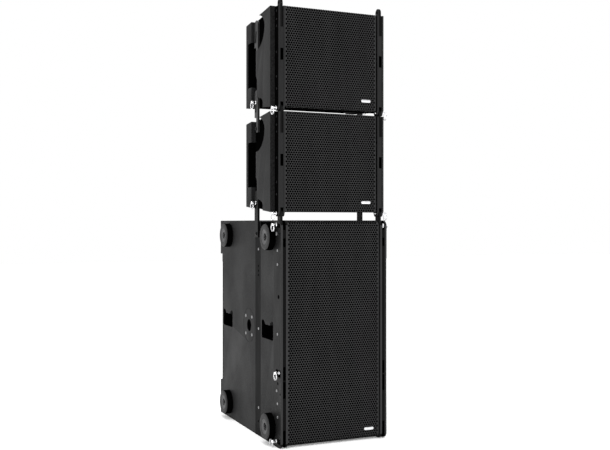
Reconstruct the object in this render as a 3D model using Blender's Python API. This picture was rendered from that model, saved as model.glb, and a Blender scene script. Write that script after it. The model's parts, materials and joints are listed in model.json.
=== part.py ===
"""A ground-stacked line array: a tall subwoofer with two wedge-shaped modules hinged above it.

The origin is the middle of the subwoofer's bottom face, -Y is the front and +Z is up.
Each module is modelled in its own frame, whose origin lies on the axis of its front hinge pins.
Left and right are those of someone who faces the front, so left is -X.
"""

from math import atan2, cos, hypot, pi, radians, sin, tan

import bmesh
import bpy

# Driving dimensions, in metres.
HALF_WIDTH = 0.180  # from the middle to the outer face of a rail, and of the subwoofer's sides
SUB_HEIGHT = 0.6875
SUB_FRONT = -0.290  # front edge of the subwoofer's rails
SUB_BACK = 0.272
WALL = 0.018  # plywood of the subwoofer
MODULE_WALL = 0.012
FIT = 0.0003  # gap between pieces that touch

# Front rails: outer plate, slot for the link, inner plate, from the outside in.
OUTER_PLATE = 0.0065
LINK_SLOT = 0.010
INNER_PLATE = 0.006
SLOT_OUT = HALF_WIDTH - OUTER_PLATE
SLOT_IN = SLOT_OUT - LINK_SLOT
RAIL_IN = SLOT_IN - INNER_PLATE
FRONT_HALF = RAIL_IN - 0.0005  # half width of the box and grille between the rails
SUB_FLANGE = 0.057
RAIL_BEND = 0.020
WEB_RECESS = 0.0012
WEB = 0.0018
SLOT_END = 0.0035  # steel left behind the slot
MODULE_WEB, MODULE_WEB_RECESS, MODULE_SLOT_END = 0.0025, 0.001, 0.0025

# Hinge line and stacking.
SUB_HINGE_Y = -0.255
SUB_HINGE_Z = SUB_HEIGHT + 0.021
HINGE_PITCH = 0.3205  # from one module's front hinge to the next one's
PIN_RADIUS = 0.0038
HOLE_RADIUS = 0.0043
LINK_WIDTH = 0.024
LINK_THICKNESS = 0.008

# Module outline in its hinge frame.
BOTTOM = 0.004
MODULE_HEIGHT = 0.308
TOP = BOTTOM + MODULE_HEIGHT
RAIL_FRONT = -0.015
SHOULDER = 0.015
BACK = 0.231
SLOPE = radians(5.25)
LET_IN, CHEEK = 0.006, 0.015  # how deep the bottom panel lies at the back, between side cheeks
MODULE_HALF = 0.195
LOBE_RADIUS = 0.0095
MODULE_GRILLE_FACE = -0.007
MODULE_BAFFLE = 0.0055
BAFFLE = 0.018

# Rear arms run in a channel of each module's side.
ARM_IN = HALF_WIDTH + FIT
ARM_THICKNESS = 0.007
ARM_WIDTH = 0.029
ARM_REACH = 0.159  # from the hinge axis back to the arm's middle
ARM_TOP = 0.074  # above the hinge axis of the module that it holds
ARM_LENGTH = 0.135
ARM_TRAVEL = 0.097
CHANNEL_FLOOR = 0.1797
CHANNEL_FRONT, CHANNEL_BACK = 0.140, 0.182
MODULE_LINK_BOTTOM = 0.236
FRONT_PIN_LENGTH, REAR_PIN_LENGTH = 0.0235, 0.022
MODULE_ROLL = 0.003
ARM_SWING = 0.009  # how much wider the channel is where the arm below leans as the module tilts
SWING_TOP = 0.116
ARM_TAIL = 0.048
SCOOP_BEHIND = 0.001  # how far the scoops run into the channel
UPPER_SCOOP = {"middle": TOP - 0.0495, "wide": 0.078, "up": 0.044, "down": 0.067}
LOWER_SCOOP = {"middle": 0.0265, "wide": 0.062, "up": 0.020, "low_wide": 0.055}
HAND_HOLE_WIDE, HAND_HOLE_HALF_HIGH, HAND_HOLE_IN = 0.030, 0.072, 0.160
REAR_PIN_Z = 0.035
SUB_SPLAY = radians(5)
MODULE_SPLAY = radians(10)
SLOT_CLEARANCE = 0.0009

# Subwoofer fittings.
TRACK_FRONT, TRACK_BACK = -0.117, -0.0705
TRACK_THICKNESS = 0.003
FOOT_RADIUS, FOOT_HEIGHT = 0.041, 0.0245
FOOT_YS = (-0.211, 0.191)
FOOT_ZS = (0.0545, 0.6365)
SIDE_MIDDLE_Z = 0.3435
SOCKET_Y = -0.009
SOCKET_FLANGE_RADIUS, SOCKET_BORE_RADIUS = 0.055, 0.019
SOCKET_DEPTH, SOCKET_TUBE_RADIUS, SOCKET_PLATE = 0.080, 0.0225, 0.0035
HANDLE_YS = (-0.177, 0.2075)
HANDLE_LENGTH, HANDLE_HEIGHT, HANDLE_DEPTH = 0.098, 0.057, 0.055
HANDLE_Z = 0.318
SKID_HEIGHT, SKID_THICKNESS, SKID_WIDTH = 0.118, 0.019, 0.030
WEB_BANDS = (
    (0.0555, 0.1515),
    (0.2018, 0.2058),
    (0.2465, 0.607),
    (0.633, 0.658),
)
# Windows of the rail's outer plate: their front and back edges, then their bottoms and tops.
PIN_WINDOWS = (
    ((-0.2865, -0.2635), (0.0105, 0.0270)),
    ((-0.2865, -0.2500), (0.2135, 0.2360)),
    ((-0.2835, -0.2635), (0.6645, 0.6775)),
)
SUB_PINS = {"bottom": (-0.255, 0.018), "middle": (-0.263, 0.2255), "top": (-0.257, 0.674)}
SUB_LINK_BOTTOM, SUB_ARM_BOTTOM = 0.638, 0.634
DEEP_PINS = ("middle",)  # seated inside a window; the others seat on the outer plate
RING_SWINGS = {"bottom": radians(64), "middle": 0, "top": 0}  # clear of the floor
# The pocket above the front foot: its depth, front and back edges, bottom and top.
POCKET_DEPTH, POCKET_Y, POCKET_Z = 0.012, (-0.229, -0.120), (0.662, 0.683)
SUB_GRILLE_FACE = -0.2815
SUB_BAFFLE = -0.258
SUB_WOOFER_ZS = {"lower": 0.157, "upper": SUB_HEIGHT - 0.157}
PORT_RADIUS, PORT_X, PORT_LENGTH = 0.040, 0.058, 0.180
AMP_HALF_WIDTH, AMP_BOTTOM, AMP_TOP = 0.140, 0.130, 0.557
AMP_PLATE, AMP_DEPTH = 0.003, 0.062
RIB_COUNT, RIB_PITCH, RIB_HALF, RIB_HEIGHT, RIB_ZS = 7, 0.032, 0.002, 0.010, (0.26, 0.42)
SIGNAL_SOCKET_XS, SIGNAL_SOCKET_Z = (0.0, 0.045), 0.480
SIGNAL_SOCKET_RADIUS, SIGNAL_SOCKET_DEPTH = 0.0115, 0.012
INLET_X, INLET_Z, INLET_DEPTH = (-0.0985, -0.0715), (0.180, 0.200), 0.014

SIDES = {"left": -1, "right": 1}

COLOURS = {
    "paint": ((0.045, 0.045, 0.047), 0.62, 0.0),
    "steel_black": ((0.032, 0.032, 0.034), 0.42, 0.6),
    "grille_black": ((0.040, 0.040, 0.042), 0.48, 0.5),
    "chrome": ((0.72, 0.72, 0.73), 0.18, 1.0),
    "rubber": ((0.030, 0.030, 0.030), 0.75, 0.0),
    "paper_cone": ((0.020, 0.020, 0.020), 0.85, 0.0),
    "cast_frame": ((0.028, 0.028, 0.030), 0.5, 0.4),
    "moulding": ((0.022, 0.022, 0.023), 0.55, 0.0),
}


def clear_scene():
    for old in list(bpy.data.objects):
        bpy.data.objects.remove(old, do_unlink=True)


def material(kind):
    made = bpy.data.materials.get(kind)
    if made:
        return made
    colour, roughness, metallic = COLOURS[kind]
    made = bpy.data.materials.new(kind)
    made.use_nodes = True
    surface = made.node_tree.nodes["Principled BSDF"]
    surface.inputs["Base Color"].default_value = (*colour, 1.0)
    surface.inputs["Roughness"].default_value = roughness
    surface.inputs["Metallic"].default_value = metallic
    made.diffuse_color = (*colour, 1.0)
    return made


def solid(name, shape, kind, parent=None, at=(0, 0, 0)):
    """Turns a closed bmesh into an object of its own, smooth where it is round."""
    bmesh.ops.recalc_face_normals(shape, faces=shape.faces)
    mesh = bpy.data.meshes.new(name)
    shape.to_mesh(mesh)
    shape.free()
    mesh.shade_smooth()
    mesh.set_sharp_from_angle(angle=radians(32))
    made = bpy.data.objects.new(name, mesh)
    bpy.context.scene.collection.objects.link(made)
    if kind:
        mesh.materials.append(material(kind))
    made.parent = parent
    made.location = at
    return made


def tool(shape, parent, at=(0, 0, 0)):
    """A cutter or an addition, which stays out of renders."""
    made = solid("tool", shape, None, parent, at)
    made.hide_render = True
    made.display_type = "WIRE"
    return made


def combine(target, operation, shapes):
    """Leaves one Boolean modifier on the target for each of the shapes, all in the target's frame."""
    for shape in shapes:
        modifier = target.modifiers.new(operation.lower(), "BOOLEAN")
        modifier.operation = operation
        modifier.solver = "EXACT"
        modifier.object = tool(shape, target.parent, target.location)


def cut(target, *shapes):
    combine(target, "DIFFERENCE", shapes)


def join(target, *shapes):
    combine(target, "UNION", shapes)


def prism(outline, axis, start, end):
    """Extrudes an outline along an axis; the outline's pairs are the other two axes in order."""
    shape = bmesh.new()
    order = {"x": (2, 0, 1), "y": (0, 2, 1), "z": (0, 1, 2)}[axis]
    rings = []
    for level in (start, end):
        points = [(*pair, level) for pair in outline]
        rings.append([shape.verts.new([point[i] for i in order]) for point in points])
    count = len(outline)
    for i in range(count):
        j = (i + 1) % count
        shape.faces.new((rings[0][i], rings[0][j], rings[1][j], rings[1][i]))
    shape.faces.new(rings[0])
    shape.faces.new(rings[1])
    return shape


def box(x, y, z):
    """A box from three (start, end) pairs, in any order within a pair."""
    outline = [(x[0], y[0]), (x[1], y[0]), (x[1], y[1]), (x[0], y[1])]
    return prism(outline, "z", z[0], z[1])


def mirrored(side, near, far):
    return (side * near, side * far)


def arc(centre, radius, start, end, steps):
    """Points round part of a circle, or of an ellipse where radius is a pair; angles in degrees."""
    across, up = radius if isinstance(radius, tuple) else (radius, radius)
    angles = [radians(start + (end - start) * i / steps) for i in range(steps + 1)]
    return [(centre[0] + across * cos(a), centre[1] + up * sin(a)) for a in angles]


def circle(centre, radius, sides):
    return arc(centre, radius, 0, 360, sides)[:-1]


def turned(profile, axis, centre, sides=20):
    """Spins a closed profile of (radius, place along the axis) pairs; a radius of 0 is a pole."""
    shape = bmesh.new()
    order = {"x": (2, 0, 1), "y": (0, 2, 1), "z": (0, 1, 2)}[axis]

    def point(radius, along, angle):
        flat = (radius * cos(angle), radius * sin(angle), along)
        return [flat[order[i]] + centre[i] for i in range(3)]

    rings = []
    for radius, along in profile:
        count = 1 if radius == 0 else sides
        turns = [2 * pi * k / sides for k in range(count)]
        rings.append([shape.verts.new(point(radius, along, a)) for a in turns])
    for first, second in zip(rings, rings[1:] + rings[:1]):
        if len(first) == len(second) == 1:
            continue
        for k in range(sides):
            n = (k + 1) % sides
            loop = [first[k % len(first)], first[n % len(first)]]
            loop += [second[n % len(second)], second[k % len(second)]]
            shape.faces.new(list(dict.fromkeys(loop)))
    return shape


def rod(axis, centre, radius, start, end, sides=16):
    return turned([(0, start), (radius, start), (radius, end), (0, end)], axis, centre, sides)


def arc_slot(splay):
    """The slot that a rear pin sweeps about the hinge axis, as (y, z) pairs in the hinge frame."""
    reach = hypot(ARM_REACH, REAR_PIN_Z)
    high = atan2(REAR_PIN_Z, ARM_REACH)
    low = high - splay
    half = PIN_RADIUS + SLOT_CLEARANCE
    steps = 5
    turns = [low + (high - low) * i / steps for i in range(steps + 1)]
    outer = [((reach + half) * cos(a), (reach + half) * sin(a)) for a in turns]
    inner = [((reach - half) * cos(a), (reach - half) * sin(a)) for a in reversed(turns)]
    ends = []
    for angle, begin in ((high, 0), (low, 180)):
        middle = (reach * cos(angle), reach * sin(angle))
        turn = begin + angle * 180 / pi
        ends.append(arc(middle, half, turn, turn + 180, 6)[1:-1])
    return outer + ends[0] + inner + ends[1]


# Quick-release pin and ring.
PIN_HEAD = 0.017
COLLAR_RADIUS, COLLAR_LENGTH, HEAD_RADIUS = 0.0056, 0.003, 0.0046
RING_FROM_END = 0.003  # from the head's end to the hole that the ring runs through
RING_RADIUS, RING_WIRE = 0.0108, 0.0011


def quick_pin(name, side, at, length, parent, swing=0):
    """A pin along X with its head outwards and a split ring through the head; it slides out.

    The ring hangs straight down, or swings this far towards the back."""
    out = side
    profile = [(0, -out * length), (PIN_RADIUS, -out * length), (PIN_RADIUS, out * FIT)]
    profile += [(COLLAR_RADIUS, out * FIT), (COLLAR_RADIUS, out * COLLAR_LENGTH)]
    profile += [(HEAD_RADIUS, out * COLLAR_LENGTH), (HEAD_RADIUS, out * PIN_HEAD), (0, out * PIN_HEAD)]
    pin = solid(name, turned(profile, "x", (0, 0, 0), 10), "chrome", parent, at)
    ring = bmesh.new()
    loops = []
    for k in range(12):
        turn = 2 * pi * k / 12
        loop = []
        for m in range(4):
            around = 2 * pi * m / 4
            radius = RING_RADIUS + RING_WIRE * cos(around)
            x = out * (PIN_HEAD - RING_FROM_END) + RING_WIRE * sin(around)
            y = radius * sin(turn) + (RING_RADIUS - 0.001) * sin(swing)
            z = radius * cos(turn) - (RING_RADIUS - 0.001) * cos(swing)
            loop.append(ring.verts.new((x, y, z)))
        loops.append(loop)
    for one, two in zip(loops, loops[1:] + loops[:1]):
        for m in range(4):
            n = (m + 1) % 4
            ring.faces.new((one[m], one[n], two[n], two[m]))
    join(pin, ring)
    return pin


def link(name, side, bottom, hinge, parent, extra_hole=None):
    """A flat bar in the rail's slot that ends in a round eye on the hinge axis above."""
    half = LINK_WIDTH / 2
    y, top = hinge
    outline = [(y - half, bottom), (y + half, bottom)]
    outline += arc((y, top), half, 0, 180, 10)
    near = SLOT_IN + (LINK_SLOT - LINK_THICKNESS) / 2
    bar = prism(outline, "x", side * near, side * (near + LINK_THICKNESS))
    made = solid(name, bar, "steel_black", parent)
    holes = [(y, top)] + ([extra_hole] if extra_hole else [])
    for centre in holes:
        cut(made, rod("x", (0, *centre), HOLE_RADIUS, side * 0.14, side * 0.20, 12))
    return made


def rear_arm(name, side, bottom, hinge, splay, parent, tail=0):
    """A flat bar whose upper end holds the next module's rear pin in an arc-shaped slot.

    A tail is the length of its lower end that is cut back to half its width."""
    half = ARM_WIDTH / 2
    y, top = hinge[0] + ARM_REACH, hinge[1] + ARM_TOP
    outline = [(y - half, bottom), (y + half, bottom)]
    if tail:
        outline[1:] = [(y, bottom), (y, bottom + tail), (y + half, bottom + tail)]
    outline += arc((y, top - half), half, 0, 180, 10)
    bar = prism(outline, "x", side * ARM_IN, side * (ARM_IN + ARM_THICKNESS))
    made = solid(name, bar, "steel_black", parent)
    slot = [(hinge[0] + a, hinge[1] + b) for a, b in arc_slot(splay)]
    cut(made, prism(slot, "x", side * (ARM_IN - 0.004), side * (ARM_IN + 0.012)))
    return made


def driver_frame(name, outer, mouth, depth, at, parent):
    """A cast loudspeaker frame with its magnet, open to the front, its back towards +Y."""
    lip = 0.005
    magnet = outer * 0.56
    neck = mouth * 0.42
    profile = [(outer, -lip), (outer, -FIT), (mouth + 0.003, -FIT), (mouth + 0.003, 0.016)]
    profile += [(magnet, depth * 0.62), (magnet, depth)]
    profile += [(0, depth), (0, depth * 0.70), (neck, depth * 0.70), (neck, depth * 0.60)]
    profile += [(mouth, 0.014), (mouth, -lip)]
    return solid(name, turned(profile, "y", (0, 0, 0)), "cast_frame", parent, at)


def driver_cone(name, mouth, depth, at, parent):
    """The cone, its roll surround and dust cap, which move together along the driver's axis."""
    rim = mouth - 0.0015
    surround = mouth * 0.12
    neck = mouth * 0.32
    back = depth * 0.42
    skin = 0.0018
    profile = [(0, back * 0.45), (neck, back * 0.85)]
    profile += [(rim - surround, 0.001), (rim - surround / 2, -0.0035), (rim, 0.0)]
    profile += [(rim, skin), (rim - surround, 0.001 + skin * 1.5)]
    profile += [(neck + skin, back + skin), (0, back + skin)]
    return solid(name, turned(profile, "y", (0, 0, 0)), "paper_cone", parent, at)


def rolled_grille(name, front, back, bottom, top, half, roll, parent):
    """A tray of perforated sheet, its top and bottom edges rolled back, as one closed sheet."""
    sheet = 0.0015

    def outline(inset):
        low, high, face = bottom + inset, top - inset, front + inset
        bend = max(roll - inset, 0.0006)
        points = [(back, low)]
        points += arc((face + bend, low + bend), bend, 270, 180, 5)
        points += arc((face + bend, high - bend), bend, 180, 90, 5)
        return points + [(back, high)]

    made = solid(name, prism(outline(0), "x", -half, half), "grille_black", parent)
    inner = outline(sheet)
    inner[0] = (back + 0.01, inner[0][1])
    inner[-1] = (back + 0.01, inner[-1][1])
    cut(made, prism(inner, "x", -half + sheet, half - sheet))
    return made


def sub_rail(name, side):
    """A folded steel rail: outer plate with pin windows, slotted front web and inner plate."""
    back = SUB_FRONT + SUB_FLANGE
    bend = RAIL_BEND
    outline = [(back, 0), (back, SUB_HEIGHT)]
    outline += arc((SUB_FRONT + bend, SUB_HEIGHT - bend), bend, 90, 180, 6)
    outline += arc((SUB_FRONT + bend, bend), bend, 180, 270, 6)
    made = solid(name, prism(outline, "x", side * RAIL_IN, side * HALF_WIDTH), "steel_black")
    slot = mirrored(side, SLOT_IN, SLOT_OUT)
    through = (-0.01, SUB_HEIGHT + 0.01)
    web_back = SUB_FRONT + WEB_RECESS + WEB
    cut(made, box(slot, (web_back, back - SLOT_END), through))
    cut(made, box(slot, (SUB_FRONT - 0.01, SUB_FRONT + WEB_RECESS), through))
    edges = [through[0]] + [edge for band in WEB_BANDS for edge in band] + [through[1]]
    for low, high in zip(edges[::2], edges[1::2]):
        cut(made, box(slot, (SUB_FRONT - 0.01, web_back + 0.001), (low, high)))
    outer = mirrored(side, SLOT_OUT - 0.001, HALF_WIDTH + 0.01)
    for window_y, window_z in PIN_WINDOWS:
        cut(made, box(outer, window_y, window_z))
    for place, (y, z) in SUB_PINS.items():
        far = SLOT_OUT if place in DEEP_PINS else HALF_WIDTH + 0.01
        cut(made, rod("x", (0, y, z), HOLE_RADIUS, side * 0.14, side * far, 12))
    return made


def sub_cabinet():
    main_front = SUB_FRONT + SUB_FLANGE + FIT
    main = box((-HALF_WIDTH, HALF_WIDTH), (main_front, SUB_BACK), (0, SUB_HEIGHT))
    made = solid("sub_cabinet", main, "paint")
    low, high = 0.0005, SUB_HEIGHT - 0.0005
    nose = box((-FRONT_HALF, FRONT_HALF), (SUB_BAFFLE, main_front + 0.01), (low, high))
    skids = []
    for side in SIDES.values():
        for z in ((0, SKID_HEIGHT), (SUB_HEIGHT - SKID_HEIGHT, SUB_HEIGHT)):
            x = mirrored(side, HALF_WIDTH - SKID_WIDTH, HALF_WIDTH)
            skids.append(box(x, (SUB_BACK - 0.005, SUB_BACK + SKID_THICKNESS), z))
    join(made, nose, *skids)
    inner_z = (WALL, SUB_HEIGHT - WALL)
    behind = main_front + WALL
    neck = FRONT_HALF - WALL + 0.003
    cut(made, box((-neck, neck), (SUB_BAFFLE + BAFFLE, behind + 0.01), inner_z))
    half = HALF_WIDTH - WALL
    cut(made, box((-half, half), (behind, SUB_BACK - WALL), inner_z))
    sub_handles(made)
    sub_ports(made)
    for z in SUB_WOOFER_ZS.values():
        cut(made, rod("y", (0, 0, z), SUB_CUTOUT, SUB_BAFFLE - 0.01, SUB_BAFFLE + 0.03, 28))
    for side in SIDES.values():
        pocket_x = mirrored(side, HALF_WIDTH - POCKET_DEPTH, HALF_WIDTH + 0.01)
        cut(made, box(pocket_x, POCKET_Y, POCKET_Z))
        x = mirrored(side, HALF_WIDTH - TRACK_THICKNESS - FIT, HALF_WIDTH + 0.01)
        cut(made, box(x, (TRACK_FRONT - FIT, TRACK_BACK + FIT), (-0.01, SUB_HEIGHT + 0.01)))
    flange = rod("x", SOCKET_AT, SOCKET_FLANGE_RADIUS + 0.0005, -0.1762, -0.20, 28)
    cut(made, flange, rod("x", SOCKET_AT, 0.0235, -0.15, -0.19, 16))
    amp_x = (-AMP_HALF_WIDTH + 0.024, AMP_HALF_WIDTH - 0.024)
    amp_z = (AMP_BOTTOM + 0.014, AMP_TOP - 0.014)
    cut(made, box(amp_x, (SUB_BACK - WALL - 0.01, SUB_BACK + 0.01), amp_z))
    return made


def sub_handles(cabinet):
    """Hand holes in both sides: a cup behind each, its mouth notched along the top."""
    half, dip, ear = HANDLE_LENGTH / 2, 0.013, 0.017
    for side in SIDES.values():
        for y in HANDLE_YS:
            floor = HALF_WIDTH - HANDLE_DEPTH
            x = mirrored(side, floor - 0.005, HALF_WIDTH - 0.010)
            cup_y = (max(y - half - 0.006, -0.225), min(y + half + 0.006, 0.262))
            cup_z = (HANDLE_Z - 0.006, HANDLE_Z + HANDLE_HEIGHT + 0.006)
            join(cabinet, box(x, cup_y, cup_z))
    for side in SIDES.values():
        for y in HANDLE_YS:
            top = HANDLE_Z + HANDLE_HEIGHT
            outline = [(y - half, HANDLE_Z + 0.004), (y - half + 0.004, HANDLE_Z)]
            outline += [(y + half - 0.004, HANDLE_Z), (y + half, HANDLE_Z + 0.004)]
            outline += [(y + half, top - 0.003), (y + half - 0.004, top), (y + half - ear, top)]
            outline += [(y + half - ear - dip, top - dip), (y - half + ear + dip, top - dip)]
            outline += [(y - half + ear, top), (y - half + 0.004, top), (y - half, top - 0.003)]
            floor = HALF_WIDTH - HANDLE_DEPTH
            cut(cabinet, prism(outline, "x", side * floor, side * (HALF_WIDTH + 0.01)))


def sub_ports(cabinet):
    """Two bass-reflex tubes between the drivers, fixed in the baffle."""
    end = SUB_BAFFLE + PORT_LENGTH
    for side in SIDES.values():
        at = (side * PORT_X, 0, SUB_HEIGHT / 2)
        join(cabinet, rod("y", at, PORT_RADIUS + 0.003, SUB_BAFFLE + 0.004, end, 20))
        cut(cabinet, rod("y", at, PORT_RADIUS, SUB_BAFFLE - 0.01, end + 0.01, 20))


SUB_DRIVER_OUTER, SUB_DRIVER_MOUTH, SUB_DRIVER_DEPTH = 0.129, 0.108, 0.120
SUB_CUTOUT = SUB_DRIVER_MOUTH + 0.0045
SOCKET_AT = (0, SOCKET_Y, SIDE_MIDDLE_Z)


def sub_drivers():
    for place, z in SUB_WOOFER_ZS.items():
        at = (0, SUB_BAFFLE, z)
        name = "sub_woofer_" + place
        driver_frame(name, SUB_DRIVER_OUTER, SUB_DRIVER_MOUTH, SUB_DRIVER_DEPTH, at, None)
        driver_cone("sub_cone_" + place, SUB_DRIVER_MOUTH, SUB_DRIVER_DEPTH, at, None)


def rear_track(name, side):
    x = mirrored(side, HALF_WIDTH - TRACK_THICKNESS, HALF_WIDTH)
    return solid(name, box(x, (TRACK_FRONT, TRACK_BACK), (0, SUB_HEIGHT)), "steel_black")


def foot(name, y, z):
    """A stacking foot on the left side, with a dished middle for its screw."""
    base = HALF_WIDTH + FIT
    tip = base + FOOT_HEIGHT
    profile = [(0, -base), (FOOT_RADIUS, -base), (FOOT_RADIUS - 0.001, 0.003 - tip)]
    profile += [(FOOT_RADIUS - 0.005, -tip), (0.024, -tip), (0.020, 0.004 - tip), (0, 0.004 - tip)]
    return solid(name, turned(profile, "x", (0, 0, 0), 24), "rubber", None, (0, y, z))


def pole_socket():
    """A round flange let into the left side, with the blind tube that takes a pole."""
    face, depth, tube = -HALF_WIDTH, SOCKET_DEPTH, SOCKET_TUBE_RADIUS
    profile = [(SOCKET_BORE_RADIUS, face), (SOCKET_FLANGE_RADIUS, face)]
    profile += [(SOCKET_FLANGE_RADIUS, face + SOCKET_PLATE), (tube, face + SOCKET_PLATE)]
    profile += [(tube, face + depth), (0, face + depth), (0, face + depth - 0.004)]
    profile += [(SOCKET_BORE_RADIUS, face + depth - 0.004)]
    return solid("sub_pole_socket", turned(profile, "x", SOCKET_AT, 28), "steel_black")


# Controls on the amplifier panel.
PANEL_FACE = SUB_BACK + FIT + AMP_PLATE
KNOB_AT = (-0.060, PANEL_FACE + FIT, 0.480)
SWITCH_AT = (0.075, PANEL_FACE, 0.190)
SWITCH_HALF = (0.0062, 0.0095)
ROCK = radians(10)


def amplifier():
    """The amplifier's rear panel with its chassis, heat-sink ribs and sockets."""
    plate_x, plate_z = (-AMP_HALF_WIDTH, AMP_HALF_WIDTH), (AMP_BOTTOM, AMP_TOP)
    plate = box(plate_x, (SUB_BACK + FIT, PANEL_FACE), plate_z)
    made = solid("sub_amplifier", plate, "steel_black")
    inset = 0.018
    chassis_x = (-AMP_HALF_WIDTH + 0.028, AMP_HALF_WIDTH - 0.028)
    chassis_z = (AMP_BOTTOM + inset, AMP_TOP - inset)
    ribs = []
    rib_y = (PANEL_FACE - 0.001, PANEL_FACE + RIB_HEIGHT)
    for k in range(RIB_COUNT):
        x = (k - (RIB_COUNT - 1) / 2) * RIB_PITCH
        ribs.append(box((x - RIB_HALF, x + RIB_HALF), rib_y, RIB_ZS))
    join(made, box(chassis_x, (SUB_BACK - AMP_DEPTH, SUB_BACK + 0.001), chassis_z), *ribs)
    socket_floor = PANEL_FACE - SIGNAL_SOCKET_DEPTH
    sockets = [rod("y", (x, 0, SIGNAL_SOCKET_Z), SIGNAL_SOCKET_RADIUS, socket_floor, 0.3, 16)
               for x in SIGNAL_SOCKET_XS]
    inlet = box(INLET_X, (PANEL_FACE - INLET_DEPTH, 0.3), INLET_Z)
    half_x, half_z = SWITCH_HALF
    x, _, z = SWITCH_AT
    well_x = (x - half_x - 0.0006, x + half_x + 0.0006)
    well_z = (z - half_z - 0.0010, z + half_z + 0.0010)
    cut(made, *sockets, inlet, box(well_x, (PANEL_FACE - INLET_DEPTH, 0.3), well_z))
    return made


def level_knob():
    profile = [(0, 0), (0.0085, 0), (0.0085, 0.003), (0.0070, 0.013), (0, 0.013)]
    made = solid("sub_level_knob", turned(profile, "y", (0, 0, 0), 20), "moulding", None, KNOB_AT)
    join(made, box((-0.0008, 0.0008), (0.002, 0.0145), (0.002, 0.0076)))
    return made


def power_switch():
    """A rocker on a cross axle, modelled in its off position."""
    half_x, half_z = SWITCH_HALF
    low, high = -half_z * sin(ROCK), half_z * sin(ROCK)
    reach = half_z * cos(ROCK)
    outline = [(-0.007, -0.003), (-0.007, 0.003), (0.001 + low + 0.001, reach)]
    outline += [(0.0035, 0.0), (0.001 + high + 0.001, -reach)]
    made = prism(outline, "x", -half_x, half_x)
    return solid("sub_power_switch", made, "moulding", None, SWITCH_AT)


def build_sub():
    sub_cabinet()
    sub_drivers()
    rolled_grille("sub_grille", SUB_GRILLE_FACE, SUB_BAFFLE - FIT, 0.003, SUB_HEIGHT - 0.001,
                  FRONT_HALF, RAIL_BEND, None)
    hinge = (SUB_HINGE_Y, SUB_HINGE_Z)
    for label, side in SIDES.items():
        sub_rail("sub_rail_" + label, side)
        rear_track("sub_rear_track_" + label, side)
        link("sub_front_link_" + label, side, SUB_LINK_BOTTOM, hinge, None, SUB_PINS["top"])
        rear_arm("sub_rear_arm_" + label, side, SUB_ARM_BOTTOM, hinge, SUB_SPLAY, None)
        for place, (y, z) in SUB_PINS.items():
            name = f"sub_{place}_pin_{label}"
            seat = SLOT_OUT if place in DEEP_PINS else HALF_WIDTH
            length = seat - RAIL_IN - FIT
            quick_pin(name, side, (side * seat, y, z), length, None, RING_SWINGS[place])
    for place, y in zip(("front", "rear"), FOOT_YS):
        for level, z in zip(("bottom", "top"), FOOT_ZS):
            foot(f"sub_foot_{place}_{level}", y, z)
    pole_socket()
    amplifier()
    level_knob()
    power_switch()


# Module fittings, in the module's hinge frame.
WOOFER_X, WOOFER_OUTER, WOOFER_MOUTH, WOOFER_DEPTH = -0.048, 0.104, 0.087, 0.100
MIDDLE_Z = (BOTTOM + TOP) / 2
HORN_X, HORN_HALF_WIDE, HORN_HALF_HIGH = 0.106, 0.038, 0.131
HORN_BACK, THROAT = 0.100, 0.0125
PANEL_HALF = (0.078, 0.058)
SPEAKER_SOCKET_XS, SPEAKER_SOCKET_RADII, SPEAKER_SOCKET_SINK = (-0.030, 0.030), (0.0145, 0.0115), 0.0062
MODULE_WINDOWS = ((-0.02, 0.018), (0.144, 0.180), (0.244, 0.33))


def slope_at(y):
    """How far the sloping top and bottom have come in at this depth."""
    return (y - SHOULDER) * tan(SLOPE)


def module_cabinet(name, parent):
    front = SHOULDER + FIT
    drop = slope_at(BACK)
    outline = [(front, BOTTOM), (BACK, BOTTOM + drop), (BACK, TOP - drop), (front, TOP)]
    made = solid(name, prism(outline, "x", -MODULE_HALF, MODULE_HALF), "paint", parent)
    low, high = BOTTOM + 0.0005, TOP - 0.0005
    join(made, box((-FRONT_HALF, FRONT_HALF), (MODULE_BAFFLE, front + 0.005), (low, high)))
    near, far = MODULE_BAFFLE + BAFFLE, BACK - MODULE_WALL
    low, high = BOTTOM + MODULE_WALL, TOP - MODULE_WALL
    inner = [(near, low), (far, low + slope_at(far)), (far, high - slope_at(far)), (near, high)]
    half = FRONT_HALF - 0.010
    cut(made, prism(inner, "x", -half, half))
    underside = [(front, BOTTOM - 0.02), (BACK + 0.01, BOTTOM - 0.02)]
    underside += [(BACK + 0.01, BOTTOM + slope_at(BACK + 0.01) + LET_IN), (front, BOTTOM)]
    half = HALF_WIDTH - CHEEK
    cut(made, prism(underside, "x", -half, half))
    woofer_at = (WOOFER_X, 0, MIDDLE_Z)
    cut(made, rod("y", woofer_at, WOOFER_MOUTH + 0.0045, -0.01, 0.04, 28))
    horn_x = (HORN_X - HORN_HALF_WIDE, HORN_X + HORN_HALF_WIDE)
    horn_z = (MIDDLE_Z - HORN_HALF_HIGH, MIDDLE_Z + HORN_HALF_HIGH)
    cut(made, box(horn_x, (-0.01, 0.04), horn_z))
    wide, high = PANEL_HALF
    opening = (wide - 0.008, high - 0.008)
    panel_z = (MIDDLE_Z - opening[1], MIDDLE_Z + opening[1])
    cut(made, box((-opening[0], opening[0]), (far - 0.01, BACK + 0.01), panel_z))
    for side in SIDES.values():
        arm_recesses(made, side)
    return made


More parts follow.
